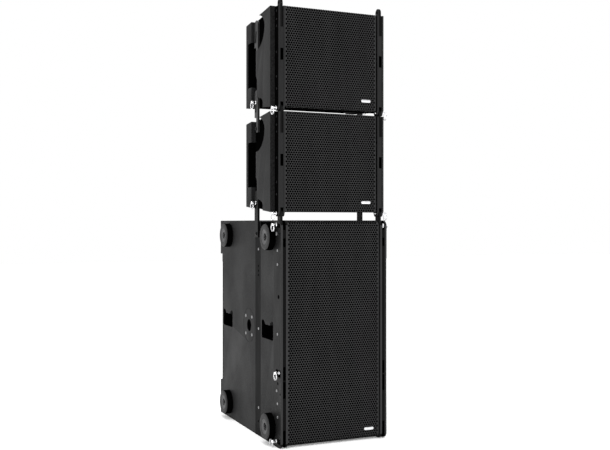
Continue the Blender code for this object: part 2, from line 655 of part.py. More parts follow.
def arm_recesses(cabinet, side):
    """The arm's channel, the curved scoops beside it, the hand hole and the rear pin's bore."""
    x = mirrored(side, CHANNEL_FLOOR, MODULE_HALF + 0.01)
    cut(cabinet, box(x, (CHANNEL_FRONT, CHANNEL_BACK), (-0.01, TOP + 0.02)))
    edge = CHANNEL_FRONT + SCOOP_BEHIND
    scoop = UPPER_SCOOP
    upper = arc((edge, scoop["middle"]), (scoop["wide"], scoop["up"]), 90, 180, 6)
    upper += arc((edge, scoop["middle"]), (scoop["wide"], scoop["down"]), 180, 270, 6)[1:]
    scoop = LOWER_SCOOP
    lower = arc((edge, scoop["middle"]), (scoop["wide"], scoop["up"]), 90, 180, 6)
    lower += [(edge - scoop["low_wide"], -0.02), (edge, -0.02)]
    relief = CHANNEL_FRONT - ARM_SWING
    swing = [(edge, SWING_TOP), (relief, SWING_TOP - 0.012), (relief, -0.02), (edge, -0.02)]
    for outline in (upper, lower, swing):
        cut(cabinet, prism(outline, "x", *x))
    hand_x = mirrored(side, HAND_HOLE_IN, MODULE_HALF + 0.01)
    hand_y = (CHANNEL_BACK - 0.001, CHANNEL_BACK + 0.001 + HAND_HOLE_WIDE)
    hand_z = (MIDDLE_Z - HAND_HOLE_HALF_HIGH, MIDDLE_Z + HAND_HOLE_HALF_HIGH)
    cut(cabinet, box(hand_x, hand_y, hand_z))
    bore = (0, ARM_REACH, REAR_PIN_Z)
    cut(cabinet, rod("x", bore, HOLE_RADIUS, side * 0.160, side * 0.185, 12))


def module_rail(name, side, parent):
    """A U-shaped rail whose two plates end in hinge eyes below the module."""
    outline = [(RAIL_FRONT, TOP - 0.0035), (RAIL_FRONT, BOTTOM + 0.003)]
    outline += arc((0, 0), LOBE_RADIUS, 180, 360, 10)
    outline += [(SHOULDER, BOTTOM + 0.003), (SHOULDER, TOP - 0.0035)]
    body = prism(outline, "x", side * RAIL_IN, side * HALF_WIDTH)
    made = solid(name, body, "steel_black", parent)
    slot = mirrored(side, SLOT_IN, SLOT_OUT)
    web_back = RAIL_FRONT + MODULE_WEB
    cut(made, box(slot, (web_back, SHOULDER - MODULE_SLOT_END), (-0.02, TOP + 0.01)))
    cut(made, box(slot, (RAIL_FRONT - 0.01, RAIL_FRONT + MODULE_WEB_RECESS), (-0.02, TOP + 0.01)))
    for low, high in MODULE_WINDOWS:
        cut(made, box(slot, (RAIL_FRONT - 0.01, web_back + 0.001), (low, high)))
    cut(made, rod("x", (0, 0, 0), HOLE_RADIUS, side * 0.14, side * 0.20, 12))
    return made


def frustum(centre_x, centre_z, near, far, front, back):
    """A block between two rectangles, each given by its half width and half height."""
    shape = bmesh.new()
    rings = []
    for (wide, high), y in ((near, front), (far, back)):
        corners = ((-wide, -high), (wide, -high), (wide, high), (-wide, high))
        rings.append([shape.verts.new((centre_x + a, y, centre_z + b)) for a, b in corners])
    for i in range(4):
        j = (i + 1) % 4
        shape.faces.new((rings[0][i], rings[0][j], rings[1][j], rings[1][i]))
    shape.faces.new(rings[0])
    shape.faces.new(rings[1])
    return shape


def waveguide(name, parent):
    """The high-frequency waveguide with its compression driver bolted behind it."""
    flange = 0.004
    wide, high = HORN_HALF_WIDE + 0.006, HORN_HALF_HIGH + 0.008
    face = MODULE_BAFFLE - FIT - flange
    plate_x, plate_z = (HORN_X - wide, HORN_X + wide), (MIDDLE_Z - high, MIDDLE_Z + high)
    plate = box(plate_x, (face, MODULE_BAFFLE - FIT), plate_z)
    made = solid(name, plate, "moulding", parent)
    mouth = (HORN_HALF_WIDE - 0.001, HORN_HALF_HIGH - 0.001)
    throat = (0.016, 0.062)
    start = MODULE_BAFFLE - FIT - 0.001
    join(made, frustum(HORN_X, MIDDLE_Z, mouth, throat, start, HORN_BACK))
    at = (HORN_X, 0, MIDDLE_Z)
    join(made, rod("y", at, 0.037, HORN_BACK - 0.004, HORN_BACK + 0.052, 20))
    mouth = (HORN_HALF_WIDE - 0.004, HORN_HALF_HIGH - 0.004)
    throat = (0.011, 0.056)
    cut(made, frustum(HORN_X, MIDDLE_Z, mouth, throat, face - 0.001, HORN_BACK - 0.006))
    cut(made, rod("y", at, THROAT - 0.002, HORN_BACK - 0.012, HORN_BACK + 0.012, 12))
    return made


def input_plate(name, parent):
    """The rear dish with two locking speaker sockets."""
    wide, high = PANEL_HALF
    face = BACK + FIT
    plate_z = (MIDDLE_Z - high, MIDDLE_Z + high)
    plate = box((-wide, wide), (face, face + 0.0025), plate_z)
    made = solid(name, plate, "moulding", parent)
    inset = 0.010
    dish_x, dish_z = (inset - wide, wide - inset), (plate_z[0] + inset, plate_z[1] - inset)
    join(made, box(dish_x, (face - 0.034, face + 0.001), dish_z))
    inset += 0.003
    dish_x, dish_z = (inset - wide, wide - inset), (plate_z[0] + inset, plate_z[1] - inset)
    cut(made, box(dish_x, (face - 0.030, face + 0.010), dish_z))
    for x in SPEAKER_SOCKET_XS:
        at = (x, 0, MIDDLE_Z)
        rim, bore = SPEAKER_SOCKET_RADII
        join(made, rod("y", at, rim, face - 0.032, face - SPEAKER_SOCKET_SINK, 18))
        cut(made, rod("y", at, bore, face - 0.022, face + 0.01, 18))
    return made


def build_module(prefix, hinge_z, raised):
    """One module on its hinge line; raised says whether its rear arms hold another module."""
    frame = bpy.data.objects.new(prefix + "module_frame", None)
    bpy.context.scene.collection.objects.link(frame)
    frame.location = (0, SUB_HINGE_Y, hinge_z)
    module_cabinet(prefix + "cabinet", frame)
    waveguide(prefix + "waveguide", frame)
    at = (WOOFER_X, MODULE_BAFFLE, MIDDLE_Z)
    driver_frame(prefix + "woofer", WOOFER_OUTER, WOOFER_MOUTH, WOOFER_DEPTH, at, frame)
    driver_cone(prefix + "cone", WOOFER_MOUTH, WOOFER_DEPTH, at, frame)
    rolled_grille(prefix + "grille", MODULE_GRILLE_FACE, MODULE_BAFFLE - FIT, BOTTOM + 0.0005,
                  TOP - 0.0005, FRONT_HALF, MODULE_ROLL, frame)
    input_plate(prefix + "input_plate", frame)
    next_hinge = (0, HINGE_PITCH)
    drop = 0 if raised else ARM_TRAVEL
    for label, side in SIDES.items():
        module_rail(prefix + "rail_" + label, side, frame)
        link(prefix + "front_link_" + label, side, MODULE_LINK_BOTTOM, next_hinge, frame)
        arm = rear_arm(prefix + "rear_arm_" + label, side, HINGE_PITCH + ARM_TOP - ARM_LENGTH,
                       next_hinge, MODULE_SPLAY, frame, ARM_TAIL)
        arm.location.z -= drop
        for modifier in arm.modifiers:
            modifier.object.location.z -= drop
        quick_pin(prefix + "front_pin_" + label, side, (side * HALF_WIDTH, 0, 0), FRONT_PIN_LENGTH, frame)
        pin_at = (side * (ARM_IN + ARM_THICKNESS), ARM_REACH, REAR_PIN_Z)
        quick_pin(prefix + "rear_pin_" + label, side, pin_at, REAR_PIN_LENGTH, frame)


clear_scene()
build_sub()
build_module("lower_", SUB_HINGE_Z, raised=True)
build_module("upper_", SUB_HINGE_Z + HINGE_PITCH, raised=False)
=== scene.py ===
"""The looks of the line array: painted shells, perforated grilles, pins, screws and panels.

Lengths are in metres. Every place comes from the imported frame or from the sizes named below.
"""

import json
from math import atan2, cos, hypot, pi, radians, sin

import bmesh
import bpy
import numpy as np
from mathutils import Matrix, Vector


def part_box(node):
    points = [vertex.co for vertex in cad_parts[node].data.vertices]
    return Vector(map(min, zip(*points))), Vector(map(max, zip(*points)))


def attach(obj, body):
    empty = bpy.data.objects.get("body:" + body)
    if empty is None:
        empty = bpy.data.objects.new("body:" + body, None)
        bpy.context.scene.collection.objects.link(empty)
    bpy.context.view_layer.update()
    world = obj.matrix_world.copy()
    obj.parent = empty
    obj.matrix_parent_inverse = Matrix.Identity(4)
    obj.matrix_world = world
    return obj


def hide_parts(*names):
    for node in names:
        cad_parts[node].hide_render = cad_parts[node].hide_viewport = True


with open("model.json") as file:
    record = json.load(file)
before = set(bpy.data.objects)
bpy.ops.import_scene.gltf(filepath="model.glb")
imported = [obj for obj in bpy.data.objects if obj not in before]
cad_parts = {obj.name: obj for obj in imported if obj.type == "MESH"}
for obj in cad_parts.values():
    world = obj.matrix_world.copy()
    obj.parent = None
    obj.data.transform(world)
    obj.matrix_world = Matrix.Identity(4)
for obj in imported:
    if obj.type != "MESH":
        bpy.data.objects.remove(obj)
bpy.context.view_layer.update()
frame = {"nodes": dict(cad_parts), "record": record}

SIDES = {"left": -1, "right": 1}
SUB = "subwoofer"
MODULES = {"lower_": "lower_module", "upper_": "upper_module"}

# ---------------------------------------------------------------- materials


def new_material(name, colour, roughness, metallic=0.0, shine=0.5):
    made = bpy.data.materials.new(name)
    made.use_nodes = True
    tree = made.node_tree
    surface = tree.nodes["Principled BSDF"]
    surface.inputs["Base Color"].default_value = (*colour, 1.0)
    surface.inputs["Roughness"].default_value = roughness
    surface.inputs["Metallic"].default_value = metallic
    surface.inputs["Specular IOR Level"].default_value = shine
    made.diffuse_color = (*colour, 1.0)
    return made


def object_noise(tree, scale, detail=3.0, stretch=(1, 1, 1), distortion=0.0):
    """A noise texture in the piece's own coordinates, in cycles per metre."""
    place = tree.nodes.new("ShaderNodeTexCoord")
    mapping = tree.nodes.new("ShaderNodeMapping")
    mapping.inputs["Scale"].default_value = stretch
    noise = tree.nodes.new("ShaderNodeTexNoise")
    noise.inputs["Scale"].default_value = scale
    noise.inputs["Detail"].default_value = detail
    noise.inputs["Distortion"].default_value = distortion
    tree.links.new(place.outputs["Object"], mapping.inputs["Vector"])
    tree.links.new(mapping.outputs["Vector"], noise.inputs["Vector"])
    return noise.outputs["Fac"]


def remap(tree, value, low, high, from_low=0.3, from_high=0.7):
    ranger = tree.nodes.new("ShaderNodeMapRange")
    ranger.inputs["From Min"].default_value = from_low
    ranger.inputs["From Max"].default_value = from_high
    ranger.inputs["To Min"].default_value = low
    ranger.inputs["To Max"].default_value = high
    tree.links.new(value, ranger.inputs["Value"])
    return ranger.outputs["Result"]


def vary_colour(material, value, dark, light):
    tree = material.node_tree
    mix = tree.nodes.new("ShaderNodeMix")
    mix.data_type = "RGBA"
    mix.inputs["A"].default_value = (*dark, 1.0)
    mix.inputs["B"].default_value = (*light, 1.0)
    tree.links.new(value, mix.inputs["Factor"])
    tree.links.new(mix.outputs["Result"], tree.nodes["Principled BSDF"].inputs["Base Color"])


def vary_roughness(material, value):
    tree = material.node_tree
    tree.links.new(value, tree.nodes["Principled BSDF"].inputs["Roughness"])


def add_bumps(material, layers):
    """Chains bump nodes; each layer is (height value, strength, distance in metres)."""
    tree = material.node_tree
    normal = None
    for height, strength, distance in layers:
        bump = tree.nodes.new("ShaderNodeBump")
        bump.inputs["Strength"].default_value = strength
        bump.inputs["Distance"].default_value = distance
        tree.links.new(height, bump.inputs["Height"])
        if normal:
            tree.links.new(normal, bump.inputs["Normal"])
        normal = bump.outputs["Normal"]
    tree.links.new(normal, tree.nodes["Principled BSDF"].inputs["Normal"])


def grey(value):
    return (value, value, value * 1.02)


def structure_paint(name, shade, rough, shine):
    """Sprayed warm-cured paint with a coarse pebbled surface."""
    made = new_material(name, grey(shade), rough, shine=shine)
    tree = made.node_tree
    pebbles = object_noise(tree, scale=210, detail=3.0)
    grain = object_noise(tree, scale=900, detail=2.0)
    cloud = object_noise(tree, scale=9, detail=3.0)
    vary_colour(made, remap(tree, pebbles, 0, 1), grey(shade * 0.60), grey(shade * 1.40))
    vary_roughness(made, remap(tree, cloud, rough - 0.06, rough + 0.08))
    add_bumps(made, ((pebbles, 0.55, 0.0007), (grain, 0.35, 0.0002)))
    return made


def powder_coat(name, shade, rough, metallic=0.0, shine=0.2):
    """Smooth powder coat: fine orange peel and faint handling marks."""
    made = new_material(name, grey(shade), rough, metallic, shine)
    tree = made.node_tree
    peel = object_noise(tree, scale=650, detail=2.0)
    smear = object_noise(tree, scale=24, detail=4.0, stretch=(1, 1, 0.25), distortion=0.6)
    vary_colour(made, remap(tree, smear, 0, 1), grey(shade * 0.88), grey(shade * 1.15))
    vary_roughness(made, remap(tree, smear, rough - 0.07, rough + 0.07))
    add_bumps(made, ((peel, 0.25, 0.00025),))
    return made


def moulded_plastic(name, shade, rough, shine=0.2):
    made = new_material(name, grey(shade), rough, shine=shine)
    tree = made.node_tree
    grain = object_noise(tree, scale=1700, detail=2.0)
    cloud = object_noise(tree, scale=40, detail=3.0)
    vary_colour(made, remap(tree, cloud, 0, 1), grey(shade * 0.9), grey(shade * 1.12))
    vary_roughness(made, remap(tree, grain, rough - 0.05, rough + 0.05))
    add_bumps(made, ((grain, 0.3, 0.00012),))
    return made


def plated_metal(name, shade, rough):
    """Bright plating with fine turning marks."""
    made = new_material(name, grey(shade), rough, metallic=1.0)
    tree = made.node_tree
    marks = object_noise(tree, scale=2200, detail=2.0, stretch=(4, 1, 1))
    cloud = object_noise(tree, scale=120, detail=3.0)
    vary_colour(made, remap(tree, cloud, 0, 1), grey(shade * 0.86), grey(min(shade * 1.08, 0.95)))
    vary_roughness(made, remap(tree, cloud, rough * 0.7, rough * 1.5))
    add_bumps(made, ((marks, 0.15, 0.00005),))
    return made


# Serves both the real black foam and the painted-shade black.
def foam_and_shade_coat(name, shade):
    made = new_material(name, grey(shade), roughness=0.95, shine=0.0)
    tree = made.node_tree
    cells = object_noise(tree, scale=900, detail=4.0)
    vary_colour(made, remap(tree, cells, 0, 1), grey(shade * 0.3), grey(shade * 1.7))
    add_bumps(made, ((cells, 0.9, 0.0008),))
    return made


def pressed_paper(name, shade):
    """Cone paper: matted fibres under a dull coating."""
    made = new_material(name, grey(shade), roughness=0.8)
    tree = made.node_tree
    fibres = object_noise(tree, scale=520, detail=5.0, distortion=1.6)
    vary_colour(made, remap(tree, fibres, 0, 1), grey(shade * 0.7), grey(shade * 1.5))
    add_bumps(made, ((fibres, 0.5, 0.0003),))
    return made


MATERIALS = {
    "sub_paint": structure_paint("sub_paint", shade=0.0128, rough=0.62, shine=0.10),
    "module_paint": structure_paint("module_paint", shade=0.0126, rough=0.60, shine=0.10),
    # painted shade: a duller copy of the cabinet paint for forward-facing faces and part of an arm
    # recess
    "shaded_paint": structure_paint("shaded_paint", shade=0.0130, rough=0.75, shine=0.02),
    # painted shade: a near-black copy of the cabinet paint for the modules' undersides
    "underside_shade_paint": structure_paint("underside_shade_paint", shade=0.0018, rough=0.80, shine=0.0),
    "rail_coat": powder_coat("rail_coat", shade=0.0075, rough=0.50, shine=0.06),
    "track_coat": powder_coat("track_coat", shade=0.0060, rough=0.55, shine=0.02),
    "rail_front": powder_coat("rail_front", shade=0.0145, rough=0.42, shine=0.12),
    # painted highlight: a lighter copy of the rail coat for the front edges of the subwoofer's
    # rails
    "rail_lip_highlight": powder_coat("rail_lip_highlight", shade=0.024, rough=0.38, shine=0.15),
    # painted shade: a darker copy of the rail coat for the web set back in the rails' slot
    "rail_web_shade": powder_coat("rail_web_shade", shade=0.0040, rough=0.50, shine=0.03),
    # painted shadow: black for the side faces of the modules' rails
    "rail_side_shadow": powder_coat("rail_side_shadow", shade=0.0012, rough=0.60, shine=0.0),
    "panel_coat": powder_coat("panel_coat", shade=0.015, rough=0.48, shine=0.12),
    "arm_coat": powder_coat("arm_coat", shade=0.0048, rough=0.45, shine=0.06),
    # painted highlight: a lighter copy of the arm coat for the modules' rear arms
    "arm_coat_lit": powder_coat("arm_coat_lit", shade=0.020, rough=0.38, shine=0.20),
    "grille_coat": powder_coat("grille_coat", shade=0.033, rough=0.50, shine=0.12),
    "chrome": plated_metal("chrome", shade=0.85, rough=0.13),
    "screw_steel": plated_metal("screw_steel", shade=0.28, rough=0.38),
    "dark_screw": plated_metal("dark_screw", shade=0.018, rough=0.42),
    "badge_metal": plated_metal("badge_metal", shade=0.80, rough=0.34),
    "rubber": moulded_plastic("rubber", shade=0.023, rough=0.62),
    # painted highlight: a paler copy of the rubber for a ring in the feet's dish
    "rubber_highlight": moulded_plastic("rubber_highlight", shade=0.070, rough=0.50),
    "moulding": moulded_plastic("moulding", shade=0.024, rough=0.52),
    "socket_black": moulded_plastic("socket_black", shade=0.012, rough=0.40),
    "contact_metal": plated_metal("contact_metal", shade=0.75, rough=0.25),
    # painted shade: a black without shine that stands in for the shade in hollows, holes, gaps and
    # walls turned from the light
    "shade_black": foam_and_shade_coat("shade_black", shade=0.0008),
    "foam": foam_and_shade_coat("foam", shade=0.0008),
    "cone_paper": pressed_paper("cone_paper", shade=0.020),
    "cast_metal": powder_coat("cast_metal", shade=0.030, rough=0.55, metallic=0.3),
    "lamp_green": moulded_plastic("lamp_green", shade=0.10, rough=0.25),
}

# ---------------------------------------------------------------- mesh helpers

BEVEL_ANGLE = radians(32)  # an edge sharper than this is rounded
WELD = 2e-5  # vertices nearer than this are one
FLATNESS = radians(0.6)  # faces turned less than this against each other are one
SINK = 0.0002  # how far a screw or cup starts below the face that it sits on


def turn_to(axis):
    """The rotation that takes +Z to the axis."""
    return Vector((0, 0, 1)).rotation_difference(Vector(axis)).to_matrix()


def piece(name, shape, body, material, replaces=(), sharp=35, bevel=0.0, segments=2):
    """Makes a bmesh a piece that rides on a body, smooth except at its real edges."""
    mesh = bpy.data.meshes.new(name)
    shape.to_mesh(mesh)
    shape.free()
    mesh.shade_smooth()
    mesh.set_sharp_from_angle(angle=radians(sharp))
    mesh.materials.append(MATERIALS[material])
    made = bpy.data.objects.new(name, mesh)
    bpy.context.scene.collection.objects.link(made)
    if bevel:
        edges = made.modifiers.new("edges", "BEVEL")
        edges.width = bevel
        edges.segments = segments
        edges.limit_method = "ANGLE"
        edges.angle_limit = BEVEL_ANGLE
        edges.harden_normals = True
        edges.miter_outer = "MITER_ARC"
    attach(made, body)
    if replaces:
        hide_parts(*replaces)
    return made


def add_lathe(shape, profile, at, axis, sides=48):
    """Adds a turned solid; its closed profile is (radius, distance along the axis) pairs."""
    turn = turn_to(axis)
    centre = Vector(at)
    rings = []
    for radius, height in profile:
        count = 1 if radius == 0 else sides
        ring = []
        for k in range(count):
            angle = 2 * pi * k / sides
            spot = Vector((radius * cos(angle), radius * sin(angle), height))
            ring.append(shape.verts.new(centre + turn @ spot))
        rings.append(ring)
    for one, two in zip(rings, rings[1:] + rings[:1]):
        if len(one) == len(two) == 1:
            continue
        for k in range(sides):
            n = (k + 1) % sides
            corners = [one[k % len(one)], one[n % len(one)], two[n % len(two)], two[k % len(two)]]
            shape.faces.new(list(dict.fromkeys(corners)))
    return shape


def lathe(profile, at, axis, sides=64):
    shape = add_lathe(bmesh.new(), profile, at, axis, sides)
    bmesh.ops.recalc_face_normals(shape, faces=shape.faces)
    return shape


def add_box(shape, low, high):
    corners = [[(low, high)[(i >> k) & 1][k] for k in range(3)] for i in range(8)]
    verts = [shape.verts.new(corner) for corner in corners]
    for loop in ((0, 2, 3, 1), (4, 5, 7, 6), (0, 1, 5, 4),
                 (2, 6, 7, 3), (0, 4, 6, 2), (1, 3, 7, 5)):
        shape.faces.new([verts[i] for i in loop])
    return shape


def add_screw(shape, at, axis, radius, height=0.0):
    """A low pan-head screw with a hexagon socket, its head standing on the point at."""
    high = height or radius * 0.45
    turn, centre = turn_to(axis), Vector(at)
    sides, socket, depth = 24, radius * 0.46, high * 0.75

    def ring(wide, up, count):
        angles = [2 * pi * k / count for k in range(count)]
        spots = [Vector((wide * cos(a), wide * sin(a), up)) for a in angles]
        return [shape.verts.new(centre + turn @ spot) for spot in spots]

    loops = [ring(radius, -SINK, sides), ring(radius, high * 0.35, sides)]
    loops += [ring(radius * 0.88, high * 0.86, sides), ring(radius * 0.68, high, sides)]
    for one, two in zip(loops, loops[1:]):
        for k in range(sides):
            n = (k + 1) % sides
            shape.faces.new((one[k], one[n], two[n], two[k]))
    mouth, floor = ring(socket, high, 6), ring(socket * 0.96, high - depth, 6)
    step = sides // 6
    for k in range(6):
        n = (k + 1) % 6
        outer = [loops[-1][(k * step + i) % sides] for i in range(step + 1)]
        shape.faces.new(outer + [mouth[n], mouth[k]])
        shape.faces.new((mouth[k], mouth[n], floor[n], floor[k]))
    shape.faces.new(floor)
    shape.faces.new(list(reversed(loops[0])))
    return shape


def add_tube(shape, points, radius, sides=8, closed=False):
    """Sweeps a round wire along points."""
    count = len(points)
    loops = []
    for i, spot in enumerate(points):
        before = points[i - 1] if i or closed else points[0]
        after = points[(i + 1) % count] if i < count - 1 or closed else points[-1]
        turn = turn_to((after - before).normalized())
        loop = []
        for k in range(sides):
            angle = 2 * pi * k / sides
            offset = turn @ Vector((radius * cos(angle), radius * sin(angle), 0))
            loop.append(shape.verts.new(spot + offset))
        loops.append(loop)
    pairs = list(zip(loops, loops[1:]))
    if closed:
        pairs.append((loops[-1], loops[0]))
    else:
        shape.faces.new(list(reversed(loops[0])))
        shape.faces.new(loops[-1])
    for one, two in pairs:
        for k in range(sides):
            n = (k + 1) % sides
            shape.faces.new((one[k], one[n], two[n], two[k]))
    return shape


def refined(node, body, material, bevel, segments=2, name=None):
    """A finer copy of a CAD solid: its flat faces whole again and its edges rounded."""
    shape = bmesh.new()
    shape.from_mesh(frame["nodes"][node].data)
    bmesh.ops.remove_doubles(shape, verts=shape.verts, dist=WELD)
    edges = list(shape.edges)
    bmesh.ops.dissolve_limit(shape, angle_limit=FLATNESS, verts=shape.verts, edges=edges)
    bmesh.ops.recalc_face_normals(shape, faces=shape.faces)
    made_name = name or node + "_shell"
    return piece(made_name, shape, body, material, (node,), 32, bevel, segments)


def paint_faces(made, material, wanted):
    """Gives another material to the faces that pass the test."""
    made.data.materials.append(MATERIALS[material])
    index = len(made.data.materials) - 1
    for face in made.data.polygons:
        if wanted(face):
            face.material_index = index


def darken_inside(made, boxes):
    """Paints the faces inside the boxes black as painted shade, except those in the piece's
    outermost plane.
    """
    reach = max(abs(corner[0]) for corner in made.bound_box) - 0.0015

    def inside(face):
        x, y, z = face.center
        return abs(x) < reach and any(all(a <= c <= b for a, c, b in zip(low, (x, y, z), high))
                                      for low, high in boxes)

    paint_faces(made, "shade_black", inside)


def opening_boxes(words, grow=0.0):
    """The stated openings whose names hold one of the words, grown by a margin."""
    found = []
    for opening in frame["record"]["physics"]["openings"]:
        if any(word in opening["name"] for word in words):
            low, high = opening["box_m"]
            found.append(([a - grow for a in low], [a + grow for a in high]))
    return found


# ---------------------------------------------------------------- perforated grilles

PITCH = 0.0081
ROW = PITCH * 3**0.5 / 2
HOLE = 0.0035
HOLE_SIDES = 10
SHEET = 0.0013
EDGE_MARGIN = 0.0015  # the least plain strip beside the holes
END_MARGIN = 0.004  # and at the ends of the sheet
RIM, RIM_INSET, RIM_STEPS = 0.0012, 0.0002, 40
FOAM_INSET = 0.0035
# Which hole corners each of a cell's six edge pieces joins, going round from the top.
CELL_SPANS = ((0, 1), (1, 4), (4, 5), (5, 6), (6, 9), (9, 10))


def grille_curve(front, back, low, high, roll):
    """Maps a distance up the sheet to (y, z) and its outward normal: roll, flat face, roll."""
    quarter = roll * pi / 2
    straight = high - low - 2 * roll
    tail = back - (front + roll)
    total = 2 * (tail + quarter) + straight

    def place(v):
        if v < tail:
            return (back - v, low), (0, -1)
        if v < tail + quarter:
            turn = (v - tail) / roll
            return ((front + roll - roll * sin(turn), low + roll - roll * cos(turn)),
                    (-sin(turn), -cos(turn)))
        if v < tail + quarter + straight:
            return (front, low + roll + v - tail - quarter), (-1, 0)
        if v < total - tail:
            turn = (total - tail - v) / roll
            return ((front + roll - roll * sin(turn), high - roll + roll * cos(turn)),
                    (-sin(turn), cos(turn)))
        return (back - (total - v), high), (0, 1)

    return place, total


def perforated_sheet(half, place, total, plain):
    """One closed sheet with hexagonally staggered round holes, plain for a margin at each end."""
    shape = bmesh.new()
    spots = {}

    def vert(x, v, layer):
        key = (round(x * 1e6), round(v * 1e6), layer)
        if key not in spots:
            (y, z), (ny, nz) = place(v)
            inward = SHEET if layer else 0.0
            spots[key] = shape.verts.new((x, y - ny * inward, z - nz * inward))
        return spots[key]

    def face(points):
        for layer in (0, 1):
            corners = [vert(x, v, layer) for x, v in points]
            if layer:
                corners.reverse()
            if len(set(corners)) > 2:
                shape.faces.new(corners).material_index = layer

    columns = int(2 * (half - EDGE_MARGIN) / PITCH)
    rows = int((total - 2 * plain) / ROW)
    left = -columns * PITCH / 2
    start = (total - rows * ROW) / 2
    grid = [left + PITCH / 2 * i for i in range(2 * columns + 1)]
    for k in range(rows):
        low, high = start + k * ROW, start + (k + 1) * ROW
        shifted = k % 2
        cells = columns - shifted
        first = left + shifted * PITCH / 2
        for c in range(cells):
            x0 = first + c * PITCH
            xm, x1 = x0 + PITCH / 2, x0 + PITCH
            vm = (low + high) / 2
            rim = [(xm, high), (x0, high), (x0, low), (xm, low), (x1, low), (x1, high)]
            turns = [pi / 2 + 2 * pi * h / HOLE_SIDES for h in range(HOLE_SIDES)]
            hole = [(xm + HOLE * cos(a), vm + HOLE * sin(a)) for a in turns]
            for (begin, end), near, far in zip(CELL_SPANS, rim, rim[1:] + rim[:1]):
                inner = [hole[h % HOLE_SIDES] for h in range(end, begin - 1, -1)]
                face([near, far] + inner)
            for h in range(HOLE_SIDES):
                one, two = hole[h], hole[(h + 1) % HOLE_SIDES]
                # The hole walls, like the back layer, take the second material: painted shade.
                wall = shape.faces.new((vert(*one, 0), vert(*two, 0), vert(*two, 1), vert(*one, 1)))
                wall.material_index = 1
        if shifted:
            right = grid[-1]
            face([(left, low), (left + PITCH / 2, low), (left + PITCH / 2, high), (left, high)])
            face([(right - PITCH / 2, low), (right, low), (right, high), (right - PITCH / 2, high)])
        face([(-half, low), (left, low), (left, high), (-half, high)])
        face([(-left, low), (half, low), (half, high), (-left, high)])
    ends = []
    steps = 4
    for edge, limit in ((start, 0.0), (start + rows * ROW, total)):
        levels = [edge + (limit - edge) * i / steps for i in range(steps + 1)]
        ends += [tuple(sorted(pair)) for pair in zip(levels, levels[1:])]
    across = [-half] + grid + [half]
    for low, high in ends:
        for x0, x1 in zip(across, across[1:]):
            face([(x0, low), (x1, low), (x1, high), (x0, high)])
    # Close the sheet's own edge between its two layers.
    border = [edge for edge in shape.edges if len(edge.link_faces) == 1]
    layers = {}
    for key, spot in spots.items():
        layers[spot] = key
    for edge in border:
        keys = [layers[v] for v in edge.verts]
        if keys[0][2] or keys[1][2]:
            continue
        one, two = edge.verts
        back_one = spots[(keys[0][0], keys[0][1], 1)]
        back_two = spots[(keys[1][0], keys[1][1], 1)]
        shape.faces.new((one, two, back_two, back_one))
    bmesh.ops.recalc_face_normals(shape, faces=shape.faces)
    return shape


def side_rims(half, place, total, back):
    """The folded sides of a grille tray, just inside the sheet's edges."""
    shape = bmesh.new()
    line = [place(total * i / RIM_STEPS)[0] for i in range(RIM_STEPS + 1)]
    for side in (-1, 1):
        folds = []
        for x in (side * half, side * (half - RIM)):
            folds.append([shape.verts.new((x, y + SHEET, z)) for y, z in line])
        outer, inner = folds
        tops = [[shape.verts.new((v.co.x, back, v.co.z)) for v in loop] for loop in folds]
        for i in range(RIM_STEPS):
            quads = ((outer[i], outer[i + 1], tops[0][i + 1], tops[0][i]),
                     (inner[i], inner[i + 1], tops[1][i + 1], tops[1][i]),
                     (outer[i], outer[i + 1], inner[i + 1], inner[i]),
                     (tops[0][i], tops[0][i + 1], tops[1][i + 1], tops[1][i]))
            for quad in quads:
                shape.faces.new(quad)
        for i in (0, RIM_STEPS):
            shape.faces.new((outer[i], inner[i], tops[1][i], tops[0][i]))
    bmesh.ops.remove_doubles(shape, verts=shape.verts, dist=1e-5)
    bmesh.ops.recalc_face_normals(shape, faces=shape.faces)
    return shape


def grille(node, body, roll, foam_gap, foam_thick):
    """A perforated sheet with folded sides, and the foam that lies foam_gap behind its face."""
    low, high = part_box(node)
    place, total = grille_curve(low.y, high.y, low.z, high.z, roll)
    sheet = perforated_sheet(high.x, place, total, END_MARGIN)
    made = piece(node + "_sheet", sheet, body, "grille_coat", (node,), 40)
    # Painted shade: the sheet's back and the walls of its holes take the black.
    made.data.materials.append(MATERIALS["shade_black"])
    rims = side_rims(high.x - RIM_INSET, place, total, high.y)
    piece(node + "_rims", rims, body, "grille_coat")
    front = low.y + foam_gap
    foam = add_box(bmesh.new(), (low.x + FOAM_INSET, front, low.z + FOAM_INSET),
                   (high.x - FOAM_INSET, front + foam_thick, high.z - FOAM_INSET))
    piece(node + "_foam", foam, body, "foam", (), 35, foam_thick * 0.4, 3)


def badge(name, node, body):
    """A plain rounded plate low on the right of a grille, without any mark."""
    low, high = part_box(node)
    wide, tall, thick = 0.0165, 0.0042, 0.0009
    from_side, from_bottom = 0.036, 0.031
    centre = Vector((high.x - from_side, low.y, low.z + from_bottom))
    shape = bmesh.new()
    steps = 10
    outline = []
    for side, begin in ((1, -pi / 2), (-1, pi / 2)):
        for i in range(steps + 1):
            angle = begin + pi * i / steps
            outline.append((side * (wide - tall) + tall * cos(angle), tall * sin(angle)))
    inset = 0.0006
    levels = ((0.0, 0.0002), (0.0, -thick * 0.5), (inset, -thick * 0.98))
    loops = []
    for shrink, depth in levels:
        factor_x, factor_z = 1 - shrink / wide, 1 - shrink / tall
        loops.append([shape.verts.new(centre + Vector((x * factor_x, depth, z * factor_z)))
                      for x, z in outline])
    for one, two in zip(loops, loops[1:]):
        for k in range(len(outline)):
            n = (k + 1) % len(outline)
            shape.faces.new((one[k], one[n], two[n], two[k]))
    shape.faces.new(loops[-1])
    shape.faces.new(list(reversed(loops[0])))
    bmesh.ops.remove_doubles(shape, verts=shape.verts, dist=1e-6)
    bmesh.ops.recalc_face_normals(shape, faces=shape.faces)
    return piece(name, shape, body, "badge_metal")


# ---------------------------------------------------------------- quick-release pins

